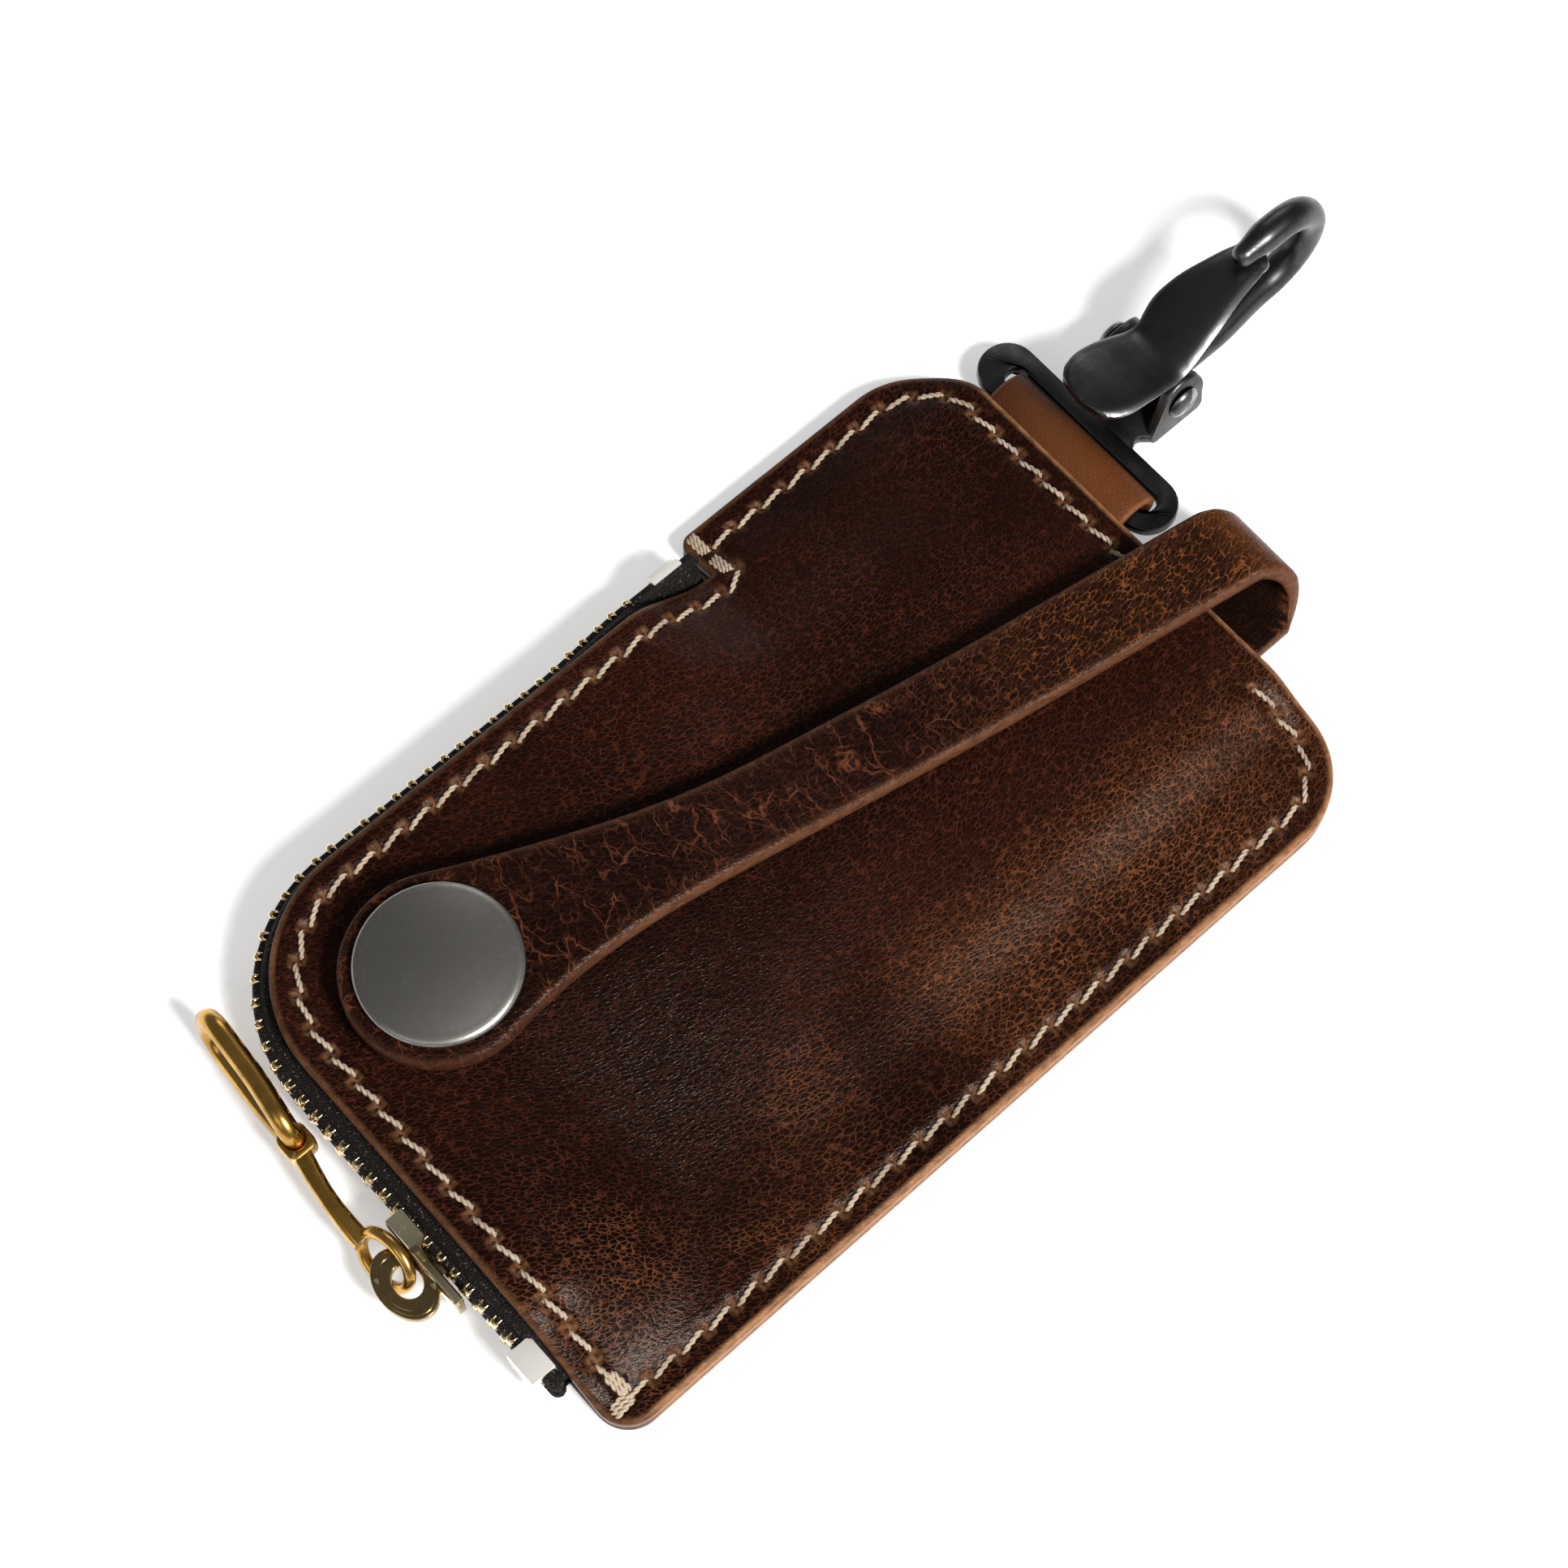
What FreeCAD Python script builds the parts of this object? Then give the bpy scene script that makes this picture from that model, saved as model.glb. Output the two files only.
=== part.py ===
import FreeCAD, Part

import math
import os
import re

from FreeCAD import Placement, Rotation, Vector

# Leather key case, zipped round one corner, with a snap strap and a lever hook.
# Frame: X along the case towards the hook, Y towards the zipped long side, Z up,
# origin at the middle of the back panel's outer face. Millimetres and degrees.

SIZES = {
    # Panels
    "case_length": 107.0,
    "case_width": 71.4,
    "leather": 1.8,
    "corner_radius": 10.5,
    "zip_corner_radius": 15.0,
    "heel_radius": 4.0,
    "zip_inset": 5.6,
    "step_from_end": 37.5,
    "seam_margin": 4.0,
    "seam_gap": 0.05,
    "zip_rise": 7.3,
    "rise_across": 45.0,
    "rise_along": 75.0,
    "zip_rise_across": 14.5,
    "zip_rise_along": 45.0,
    "zip_band": 22.0,
    "slot_half_width": 30.5,
    "slot_from_side": 32.2,
    "slot_fade": 70.0,
    # Stitching
    "stitch_margin": 3.0,
    "stitch_pitch": 3.7,
    "stitch_length": 2.9,
    "stitch_angle": 12.0,
    "thread_radius": 0.38,
    "groove_width": 1.0,
    "groove_depth": 0.9,
    # Zip
    "chain_height": 5.45,
    "chain_out": 1.5,
    "chain_thickness": 2.3,
    "chain_gap": 0.6,
    "tooth_height": 2.1,
    "tooth_length": 1.2,
    "tooth_pitch": 2.2,
    "tape_thickness": 0.3,
    "tape_width": 4.6,
    "tape_grip": 0.9,
    "stop_length": 4.0,
    "end_stop_from_heel": 9.9,
    "start_stop_from_step": 6.6,
    "flange_from_heel": 16.7,
    "flange_from_step": 12.5,
    # Slider and puller
    "slider_length": 11.4,
    "slider_from_heel": 26.3,
    "slider_wall": 1.1,
    "slider_clearance": 0.3,
    "slider_lip": 0.4,
    "slider_web": 0.3,
    "slider_web_length": 3.6,
    "fin_radius": 4.4,
    "fin_thickness": 1.3,
    "fin_eye_radius": 1.5,
    "fin_eye_out": 1.9,
    "link_radius": 2.9,
    "link_wire": 0.7,
    "bar_length": 11.0,
    "bar_width": 1.6,
    "bar_depth": 3.0,
    "bar_eye_radius": 2.2,
    "bar_eye_wire": 0.8,
    "pull_ring_length": 16.3,
    "pull_ring_half": 3.2,
    "pull_ring_wire": 1.0,
    # Strap and its snap
    "strap_thickness": 2.2,
    "strap_width": 10.0,
    "strap_angle": -9.9,
    "strap_offset": -1.7,
    "strap_taper": 40.0,
    "strap_head_radius": 10.6,
    "strap_drop": 60.0,
    "loop_overhang": 5.4,
    "bend_drift": 3.5,
    "loop_inner_radius": 2.0,
    "snap_from_end": 16.6,
    "snap_from_side": 18.7,
    "snap_cap_radius": 8.9,
    "snap_cap_height": 1.5,
    "snap_cap_crown": 40.0,
    "snap_post_radius": 1.8,
    "snap_head_radius": 2.4,
    "snap_head_height": 0.75,
    "snap_base_radius": 5.0,
    "snap_base_height": 0.4,
    "snap_wall": 2.7,
    "snap_socket_height": 1.15,
    "snap_clearance": 0.2,
    "snap_rivet_radius": 1.5,
    "snap_back_height": 0.6,
    # Key ring inside
    "tail_lift": 0.25,
    "tail_bend_in": 7.5,
    "tail_end_in": 45.5,
    "tail_end_y": 2.0,
    "tongue_width": 5.6,
    "tongue_length": 14.0,
    "tongue_thickness": 1.6,
    "tongue_height": 3.95,
    "ring_eye_radius": 1.3,
    "ring_eye_wall": 0.7,
    "key_ring_radius": 9.0,
    "key_ring_wire": 0.8,
    "tail_rivet_radius": 1.2,
    "tail_rivet_cap": 2.6,
    "tail_rivet_height": 0.5,
    # Hook and its tab
    "tab_from_side": 21.05,
    "hook_shift": 0.95,
    "tab_width": 21.4,
    "tab_layer": 1.2,
    "tab_depth": 12.0,
    "tab_eye_radius": 1.5,
    "tab_eye_wall": 1.0,
    "hook_bar_out": 2.3,
    "plate_thickness": 1.6,
    "plate_bar": 2.2,
    "plate_slot": 2.6,
    "plate_rim": 2.3,
    "plate_span": 29.6,
    "plate_slot_span": 24.6,
    "neck_width": 9.2,
    "neck_length": 12.0,
    "cheek_thickness": 1.3,
    "cheek_radius": 3.0,
    "pivot_out": 13.2,
    "pivot_height": 6.0,
    "pivot_radius": 1.1,
    "pivot_head_radius": 2.1,
    "pivot_head_height": 0.9,
    "pivot_clearance": 0.05,
    "arm_wire": 1.6,
    "arm_height": 3.4,
    "arm_reach": 31.5,
    "arm_bow": 6.4,
    "arm_tip": 5.6,
    "gate_thickness": 1.3,
    "gate_width": 8.0,
    "gate_end_width": 4.4,
    "gate_front": 15.6,
    "gate_back": 10.7,
    "gate_lift": 4.4,
    "gate_rise": 2.8,
    "gate_thumb_rise": 1.8,
    "gate_flange": 0.9,
    "gate_flange_radius": 1.9,
    "gate_play": 0.3,
    "spring_radius": 1.75,
    "spring_wire": 0.25,
    "spring_pitch": 1.05,
    "spring_turns": 3,
}

# Places worked out from the sizes
PLACES = {
    "slot_middle": "case_width / 2 - slot_from_side",
    "step_place": "case_length / 2 - step_from_end",
    "snap_x": "snap_from_end - case_length / 2",
    "snap_y": "case_width / 2 - zip_inset - snap_from_side",
    "end_stop_place": "end_stop_from_heel - case_width / 2",
    "slider_place": "slider_from_heel - case_width / 2",
    "flange_end_low": "flange_from_heel - case_width / 2",
    "start_stop_place": "case_length / 2 - step_from_end - start_stop_from_step",
    "flange_end_side": "case_length / 2 - step_from_end - flange_from_step",
    "tab_y": "case_width / 2 - tab_from_side",
    "hook_y": "case_width / 2 - tab_from_side + hook_shift",
    "tail_bend_place": "case_length / 2 - tail_bend_in",
    "tail_end_x": "case_length / 2 - tail_end_in",
}

doc = FreeCAD.newDocument("KeyCase")
sheet = doc.addObject("Spreadsheet::Sheet", "Sizes")
ALIASES = []


def enter(alias, text):
    """Writes one named cell of the sheet."""
    ALIASES.append(alias)
    line = len(ALIASES)
    sheet.set(f"A{line}", alias)
    sheet.set(f"B{line}", text)
    sheet.setAlias(f"B{line}", alias)


for alias, number in SIZES.items():
    enter(alias, str(number))
for alias, formula in PLACES.items():
    enter(alias, "=" + formula)
doc.recompute()

WORD = re.compile(r"[a-z_]+")
NODES = []


def size(alias):
    """Value of one driving dimension."""
    return float(sheet.get(alias))


def sized(text):
    """Expression with each driving dimension written as a cell of the sheet."""
    return WORD.sub(lambda m: "Sizes." + m.group(0) if m.group(0) in ALIASES else m.group(0), text)


def solid(kind, name, at, turn=None, **sizes):
    """Primitive whose sizes and place follow the sheet."""
    made = doc.addObject("Part::" + kind, name)
    if turn:
        made.Placement = Placement(Vector(), turn)
    for prop, text in sizes.items():
        made.setExpression(prop, sized(text))
    for axis, text in zip("xyz", at):
        made.setExpression("Placement.Base." + axis, sized(text))
    return made


def box(name, x, y, z):
    """Box between a low and a high expression on each axis."""
    spans = [f"({high}) - ({low})" for low, high in (x, y, z)]
    lows = [low for low, high in (x, y, z)]
    return solid("Box", name, lows, Length=spans[0], Width=spans[1], Height=spans[2])


def fuse(name, *pieces):
    """One solid from several overlapping ones."""
    made = doc.addObject("Part::MultiFuse", name)
    made.Shapes = list(pieces)
    return made


def cut(name, base, *tools):
    """Base without the tools."""
    made = doc.addObject("Part::Cut", name)
    made.Base = base
    made.Tool = tools[0] if len(tools) == 1 else fuse(name + "_tools", *tools)
    return made


def common(name, *pieces):
    """What the pieces share."""
    made = doc.addObject("Part::MultiCommon", name)
    made.Shapes = list(pieces)
    return made


def shaped(name, shape):
    """Feature with a shape worked out here from the sheet's values."""
    made = doc.addObject("Part::Feature", name)
    made.Shape = shape
    return made


def raised(name, base, low, height):
    """Flat face raised along Z by a bound height."""
    made = doc.addObject("Part::Extrusion", name)
    made.Base = base
    made.DirMode = "Custom"
    made.Dir = Vector(0, 0, 1)
    made.Solid = True
    made.setExpression("LengthFwd", sized(height))
    made.setExpression("Placement.Base.z", sized(low))
    return made


def node(label, made):
    """Names a finished sub-part."""
    made.Label = label
    NODES.append(made)
    return made


ALONG_Y = Rotation(Vector(1, 0, 0), -90)
FACING_X = Rotation(Vector(0, 1, 0), 90)
HALF_TURN_SIDE = Rotation(Vector(0, 0, 1), 90)
UP = Vector(0, 0, 1)
HALF_LENGTH = size("case_length") / 2
HALF_WIDTH = size("case_width") / 2
LEATHER = size("leather")


def smooth(share):
    """Smooth step from 0 to 1."""
    share = min(max(share, 0.0), 1.0)
    return share * share * (3 - 2 * share)


# Outline shared by both panels, moved inwards by an inset


def outline_runs(inset):
    """Corner points of the outline with their rounding radii, anticlockwise from the heel."""
    left = -HALF_LENGTH + inset
    right = HALF_LENGTH - inset
    low = -HALF_WIDTH + inset
    high = HALF_WIDTH - inset
    zip_side = HALF_WIDTH - size("zip_inset") - inset
    step = size("step_place") + inset
    corner = size("corner_radius") - inset
    zip_corner = size("zip_corner_radius") - inset
    heel = size("heel_radius") - inset
    return [
        (Vector(left, low), heel),
        (Vector(right, low), corner),
        (Vector(right, high), corner),
        (Vector(step, high), 0.0),
        (Vector(step, zip_side), 0.0),
        (Vector(left, zip_side), zip_corner),
    ]


def outline_edges(inset):
    """Edges of the outline: lines joined by quarter arcs."""
    runs = outline_runs(inset)
    edges = []
    ends = []
    for i, (point, radius) in enumerate(runs):
        before = (runs[i - 1][0] - point).normalize()
        after = (runs[(i + 1) % len(runs)][0] - point).normalize()
        start = point + before * radius
        end = point + after * radius
        middle = point + (before + after) * radius * (1 - math.sqrt(0.5))
        ends.append((start, middle, end, radius))
    for i, (start, middle, end, radius) in enumerate(ends):
        if radius > 0:
            edges.append(Part.Arc(start, middle, end).toShape())
        edges.append(Part.makeLine(end, ends[(i + 1) % len(ends)][0]))
    return edges


def outline_face(inset):
    """Face inside the outline."""
    return Part.Face(Part.Wire(outline_edges(inset)))


def ring_face(outer, inner):
    """Band between two insets of the outline."""
    return outline_face(outer).cut(outline_face(inner))


# Height of the front panel's inner face


SLOT_RISE = size("tail_lift") + size("strap_thickness") + 2 * size("seam_gap")


def front_inner(x, y):
    """Height of the front panel's inner face: low along the seams, high along the zip."""
    across = y + HALF_WIDTH
    along = HALF_LENGTH - x
    from_side = HALF_WIDTH - y
    margin = size("seam_margin")
    reach = size("slot_half_width") - abs(y - size("slot_middle"))
    at_hook = smooth(reach / margin / 2) * (1 - smooth((along - 2 * margin) / size("slot_fade")))
    base = LEATHER + size("seam_gap") + SLOT_RISE * at_hook
    band = size("zip_band")
    by_end = smooth((band - HALF_LENGTH - x) / (band - margin))
    by_side = smooth((y - HALF_WIDTH + size("zip_inset") + band) / (band - 2 * margin))
    slow_across = smooth((across - margin) / size("rise_across"))
    fast_across = smooth((across - margin / 2) / size("zip_rise_across"))
    slow_along = smooth((along - margin) / size("rise_along"))
    fast_along = smooth((along - margin) / size("zip_rise_along"))
    lift_across = slow_across * (1 - by_end) + fast_across * by_end
    lift_along = slow_along * (1 - by_side) + fast_along * by_side
    past_zip = smooth((x - size("flange_end_side")) / (size("step_place") - size("flange_end_side")))
    sewn = 1 - past_zip * (1 - smooth((from_side - margin) / band))
    top = LEATHER + size("seam_gap") + size("zip_rise")
    return base + (top - base) * lift_across * lift_along * sewn


def front_at_snap():
    """Heights of the front panel's inner face over the snap's base."""
    heights = []
    for step in range(12):
        angle = math.radians(30 * step)
        x = size("snap_x") + size("snap_base_radius") * math.cos(angle)
        y = size("snap_y") + size("snap_base_radius") * math.sin(angle)
        heights.append(front_inner(x, y))
    return heights


enter("front_low_at_snap", str(min(front_at_snap())))
enter("front_high_at_snap", str(max(front_at_snap())))
doc.recompute()


def front_slab():
    """Puffed sheet of leather thickness, wider than the panel."""
    columns = 44
    rows = 32
    spill = size("heel_radius")
    grid = []
    for i in range(columns + 1):
        x = -HALF_LENGTH - spill + i * (size("case_length") + 2 * spill) / columns
        row = []
        for j in range(rows + 1):
            y = -HALF_WIDTH - spill + j * (size("case_width") + 2 * spill) / rows
            row.append(Vector(x, y, front_inner(x, y)))
        grid.append(row)
    surface = Part.BSplineSurface()
    surface.interpolate(grid)
    return surface.toShape().extrude(UP * LEATHER)


# Panels

panel_outline = shaped("panel_outline", outline_face(0.0))
groove_margin = size("stitch_margin")
groove_half = size("groove_width") / 2
groove_band = ring_face(groove_margin - groove_half, groove_margin + groove_half)
back_groove = raised("back_groove", shaped("groove_band", groove_band), "0", "groove_depth")
node("back_panel", cut("back", raised("back_sheet", panel_outline, "0", "leather"), back_groove))

puffed = shaped("puffed_sheet", front_slab())
front_prism = raised("front_prism", panel_outline, "0", "zip_rise + 3 * leather")
snap_hole = solid(
    "Cylinder", "front_snap_hole", ("snap_x", "snap_y", "0"),
    Radius="snap_rivet_radius", Height="zip_rise + 4 * leather",
)
node("front_panel", cut("front", common("front_sheet", puffed, front_prism), snap_hole))


# Stitches


def stitch(middle, along, height):
    """One slanted stitch, a short length of thread on a surface given by its height."""
    half = size("stitch_length") / 2
    start = middle - along * half
    end = middle + along * half
    start.z = height(start.x, start.y)
    end.z = height(end.x, end.y)
    way = end - start
    return Part.makeCylinder(size("thread_radius"), way.Length, start, way)


def seam_stitches(height, skips_slot):
    """Stitches all along the seam, each turned a little across it."""
    edges = outline_edges(groove_margin)
    path = Part.Wire(edges)
    count = int(path.Length / size("stitch_pitch"))
    slant = Rotation(UP, size("stitch_angle") if skips_slot else 0)
    points = path.discretize(Number=2 * count + 1)
    stitches = []
    for i in range(count):
        before, middle, after = points[2 * i:2 * i + 3]
        along = slant.multVec((after - before).normalize())
        in_slot = middle.x > HALF_LENGTH - 2 * groove_margin and abs(middle.y - slot_place) < slot_reach
        if not (skips_slot and in_slot):
            stitches.append(stitch(middle, along, height))
    return stitches


def bar_tack(start, end, height):
    """Two threads side by side that lock the end of the zip opening."""
    along = (end - start).normalize()
    side = Vector(-along.y, along.x, 0) * size("thread_radius") * 1.2
    threads = []
    for shift in (side, side * -1):
        low = start + shift
        high = end + shift
        low.z = height(low.x, low.y)
        high.z = height(high.x, high.y)
        way = high - low
        threads.append(Part.makeCylinder(size("thread_radius"), way.Length, low, way))
    return threads


turn = math.radians(size("strap_angle"))
strap_along = Vector(math.cos(turn), math.sin(turn))
strap_across = Vector(-math.sin(turn), math.cos(turn))
snap_place = Vector(size("snap_x"), size("snap_y"))
loop_x = HALF_LENGTH + size("loop_overhang")
strap_slope = math.tan(turn)
strap_entry = size("snap_y") + (loop_x - size("snap_x")) * strap_slope + size("strap_offset") / math.cos(turn)
BEND_RADIUS = size("loop_inner_radius") + size("strap_thickness") / 2
bend_shift = strap_slope * BEND_RADIUS * math.pi - size("bend_drift")
slot_place = strap_entry + bend_shift / 2
slot_reach = 1.1 * size("strap_width")


def on_front(x, y):
    """Height of the middle of a thread that lies on the front panel."""
    return front_inner(x, y) + LEATHER + size("thread_radius") / 3


def in_groove(x, y):
    """Height of the middle of a thread in the back panel's groove."""
    return size("groove_depth") / 2


step_tack = bar_tack(
    Vector(size("step_place") + groove_margin / 2, HALF_WIDTH - size("zip_inset") - groove_margin),
    Vector(size("step_place") + groove_margin / 2, HALF_WIDTH - groove_half),
    on_front,
)
heel_corner = Vector(-HALF_LENGTH, -HALF_WIDTH)
heel_tack = bar_tack(
    heel_corner + Vector(groove_half, groove_margin, 0),
    heel_corner + Vector(groove_margin, groove_margin / 2, 0),
    on_front,
)
front_thread = seam_stitches(on_front, True) + step_tack + heel_tack
node("seam_thread_front", shaped("front_thread", Part.makeCompound(front_thread)))
node("seam_thread_back", shaped("back_thread", Part.makeCompound(seam_stitches(in_groove, False))))


# Zip: two tapes, two rows of teeth and the stops, along the zip end, the corner and the side


def zip_edges(out, low, side):
    """Path at a distance outside the leather's edge, from the heel end round to the step."""
    radius = size("zip_corner_radius")
    middle = Vector(-HALF_LENGTH + radius, HALF_WIDTH - size("zip_inset") - radius)
    reach = radius + out
    bend_start = middle + Vector(-reach, 0, 0)
    bend_end = middle + Vector(0, reach, 0)
    bend_middle = middle + Vector(-reach, reach, 0) * math.sqrt(0.5)
    return [
        Part.makeLine(Vector(bend_start.x, low, 0), bend_start),
        Part.Arc(bend_start, bend_middle, bend_end).toShape(),
        Part.makeLine(bend_end, Vector(side, bend_end.y, 0)),
    ]


def zip_band_solid(out, inner, low, side, bottom, top):
    """Band between two distances from the leather's edge, raised between two heights."""
    outer_edges = zip_edges(out, low, side)
    inner_edges = zip_edges(inner, low, side)
    closing = [
        Part.makeLine(outer_edges[0].Vertexes[0].Point, inner_edges[0].Vertexes[0].Point),
        Part.makeLine(outer_edges[2].Vertexes[1].Point, inner_edges[2].Vertexes[1].Point),
    ]
    loop = Part.Wire(Part.__sortEdges__(outer_edges + inner_edges + closing))
    raised_band = Part.Face(loop).extrude(UP * (top - bottom))
    raised_band.translate(UP * bottom)
    return raised_band


QUARTERS = 4
CHAIN = size("chain_height")
ROW_INNER = size("chain_gap") / 2
ROW_OUTER = ROW_INNER + size("tooth_height")
OUT = size("chain_out")
TAPE = size("tape_thickness")
CHAIN_LOW = size("end_stop_place") + size("stop_length")
CHAIN_SIDE = size("start_stop_place")
UPPER_SEAT = LEATHER + size("seam_gap") + size("zip_rise") - 2 * size("seam_gap")
LOWER_SEAT = LEATHER + size("seam_gap")


def tape(leg_start, seat, inwards):
    """Woven tape: a leg out of the teeth and a flange sewn to the leather, seat being its outer face."""
    flange = sorted((seat, seat + inwards * TAPE))
    leg = sorted((leg_start, seat))
    leg_low = size("end_stop_place") - size("stop_length") / 2
    leg_side = size("start_stop_place") + 1.2 * size("stop_length")
    standing = zip_band_solid(OUT + TAPE / 2, OUT - TAPE / 2, leg_low, leg_side, *leg)
    lying = zip_band_solid(
        OUT + TAPE / 2, -size("tape_width"), size("flange_end_low"), size("flange_end_side"), *flange
    )
    return standing.fuse(lying).removeSplitter()


def teeth(bottom, shift):
    """Row of teeth at the tooth pitch, from a bottom height, shifted along the path."""
    path = Part.Wire(zip_edges(OUT, CHAIN_LOW, CHAIN_SIDE))
    length = size("tooth_length")
    count = int((path.Length - length) / size("tooth_pitch"))
    row = []
    points = path.discretize(Distance=size("tooth_pitch") / QUARTERS)
    for i in range(count):
        place = QUARTERS * i + 2 + shift
        along = (points[place + 1] - points[place - 1]).normalize()
        depth = size("chain_thickness")
        tooth = Part.makeBox(length, depth, size("tooth_height"), Vector(-length / 2, -depth / 2, bottom))
        facing = Rotation(Vector(1, 0, 0), along)
        tooth.Placement = Placement(points[place], facing)
        row.append(tooth)
    return Part.makeCompound(row)


upper_leg = CHAIN + ROW_OUTER - size("tape_grip")
lower_leg = CHAIN - ROW_OUTER + size("tape_grip")
node("zip_tape_upper", shaped("tape_upper", tape(upper_leg, UPPER_SEAT, -1)))
node("zip_tape_lower", shaped("tape_lower", tape(lower_leg, LOWER_SEAT, 1)))
node("zip_teeth_upper", shaped("teeth_upper", teeth(CHAIN + ROW_INNER, 0)))
node("zip_teeth_lower", shaped("teeth_lower", teeth(CHAIN - ROW_OUTER, 2)))

ROW = "(chain_gap / 2 + tooth_height + slider_clearance)"
ZIP_X = "-case_length / 2 - chain_out"
STOP_HALF = "(chain_thickness / 2 + slider_clearance)"
end_stop = box(
    "end_stop",
    (f"{ZIP_X} - {STOP_HALF}", f"{ZIP_X} + {STOP_HALF}"),
    ("end_stop_place", "end_stop_place + stop_length"),
    (f"chain_height - {ROW}", f"chain_height + {ROW}"),
)
node("zip_end_stop", end_stop)
SIDE_Y = "case_width / 2 - zip_inset + chain_out"
start_stop = box(
    "start_stop",
    ("start_stop_place", "start_stop_place + stop_length"),
    (f"{SIDE_Y} - {STOP_HALF}", f"{SIDE_Y} + {STOP_HALF}"),
    (f"chain_height - {ROW}", f"chain_height + {ROW}"),
)
node("zip_start_stop", start_stop)

# Slider: two plates with lips round the teeth, a web between the rows, and a fin with an eye

INNER = "(chain_thickness / 2 + slider_clearance)"
OUTER = "(chain_thickness / 2 + slider_clearance + slider_wall)"
LIP = "(tape_thickness / 2 + slider_clearance)"
HEIGHT = "(chain_gap / 2 + tooth_height + slider_clearance + slider_lip)"
SLIDER_Y = ("slider_place - slider_length / 2", "slider_place + slider_length / 2")
SLIDER_Z = (f"chain_height - {HEIGHT}", f"chain_height + {HEIGHT}")
slider_pieces = [
    box("slider_outer", (f"{ZIP_X} - {OUTER}", f"{ZIP_X} - {INNER}"), SLIDER_Y, SLIDER_Z),
    box("slider_inner", (f"{ZIP_X} + {INNER}", f"{ZIP_X} + {OUTER}"), SLIDER_Y, SLIDER_Z),
    box(
        "slider_web",
        (f"{ZIP_X} - {OUTER}", f"{ZIP_X} + {OUTER}"),
        ("slider_place - slider_web_length / 2", "slider_place + slider_web_length / 2"),
        ("chain_height - slider_web / 2", "chain_height + slider_web / 2"),
    ),
]
LIP_UP = (f"chain_height + {HEIGHT} - slider_lip", f"chain_height + {HEIGHT}")
LIP_DOWN = (f"chain_height - {HEIGHT}", f"chain_height - {HEIGHT} + slider_lip")
LIP_OUT = (f"{ZIP_X} - {OUTER}", f"{ZIP_X} - {LIP}")
LIP_IN = (f"{ZIP_X} + {LIP}", f"{ZIP_X} + {OUTER}")
LIPS = ((LIP_OUT, LIP_UP), (LIP_OUT, LIP_DOWN), (LIP_IN, LIP_UP), (LIP_IN, LIP_DOWN))
for number, (side, level) in enumerate(LIPS):
    slider_pieces.append(box(f"slider_lip_{number}", side, SLIDER_Y, level))
EYE_X = f"{ZIP_X} - {OUTER} - fin_eye_out"
fin = solid(
    "Cylinder", "slider_fin",
    (f"{ZIP_X} - {OUTER} + slider_wall / 2", "slider_place", "chain_height - fin_thickness / 2"),
    turn=HALF_TURN_SIDE, Radius="fin_radius", Height="fin_thickness", Angle="180",
)
fin_eye = solid(
    "Cylinder", "fin_eye", (EYE_X, "slider_place", "chain_height - fin_thickness"),
    Radius="fin_eye_radius", Height="2 * fin_thickness",
)
node("slider_body", cut("slider", fuse("slider_solid", *slider_pieces, fin), fin_eye))

# Puller: a bar with a link through the fin's eye, and a long ring through the bar's other eye

link = solid(
    "Torus", "puller_link", (EYE_X, "slider_place + link_radius", "chain_height"),
    turn=FACING_X, Radius1="link_radius", Radius2="link_wire",
)
BAR_START = "slider_place + 2 * link_radius"
bar = box(
    "puller_stem",
    (f"{EYE_X} - bar_width / 2", f"{EYE_X} + bar_width / 2"),
    (BAR_START, f"{BAR_START} + bar_length"),
    ("chain_height - bar_depth / 2", "chain_height + bar_depth / 2"),
)
BAR_EYE_Y = f"{BAR_START} + bar_length + bar_eye_radius"
bar_eye = solid(
    "Torus", "puller_eye", (EYE_X, BAR_EYE_Y, "chain_height"),
    Radius1="bar_eye_radius", Radius2="bar_eye_wire",
)
node("puller_bar", fuse("puller", link, bar, bar_eye))


def pull_ring():
    """Long ring of round wire standing on edge, its near end in the bar's eye."""
    x = -HALF_LENGTH - OUT - size("chain_thickness") / 2 - size("slider_clearance")
    x = x - size("slider_wall") - size("fin_eye_out")
    near = size("slider_place") + 2 * size("link_radius") + size("bar_length") + size("bar_eye_radius")
    far = near + size("pull_ring_length")
    half = size("pull_ring_half")
    corners = [
        (Vector(x, near + half, CHAIN - half), Vector(x, near, CHAIN), Vector(x, near + half, CHAIN + half)),
        (Vector(x, far - half, CHAIN + half), Vector(x, far, CHAIN), Vector(x, far - half, CHAIN - half)),
    ]
    path = Part.Wire([
        Part.Arc(*corners[0]).toShape(),
        Part.makeLine(corners[0][2], corners[1][0]),
        Part.Arc(*corners[1]).toShape(),
        Part.makeLine(corners[1][2], corners[0][0]),
    ])
    section = Part.Wire(Part.makeCircle(size("pull_ring_wire"), corners[0][0], Vector(0, 1, 0)))
    return path.makePipeShell([section], True, False)


node("puller_ring", shaped("pull_ring", pull_ring()))

# Strap: a flap that tapers from the snap, a bend round the hook end, and a tail inside

STRAP = size("strap_thickness")
TAIL_LOW = LEATHER + size("tail_lift")
LOOP_Z = TAIL_LOW + STRAP + size("loop_inner_radius")
FLAP_LOW = LOOP_Z + size("loop_inner_radius")
PANEL_TOP = "(front_high_at_snap + leather + seam_gap)"
SOCKET_LOW = f"({PANEL_TOP} + snap_base_height + snap_clearance)"
STRAP_LOW = f"({SOCKET_LOW} + snap_socket_height)"
SNAP_LEVEL = float(sheet.evalExpression(sized(STRAP_LOW)))


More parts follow.
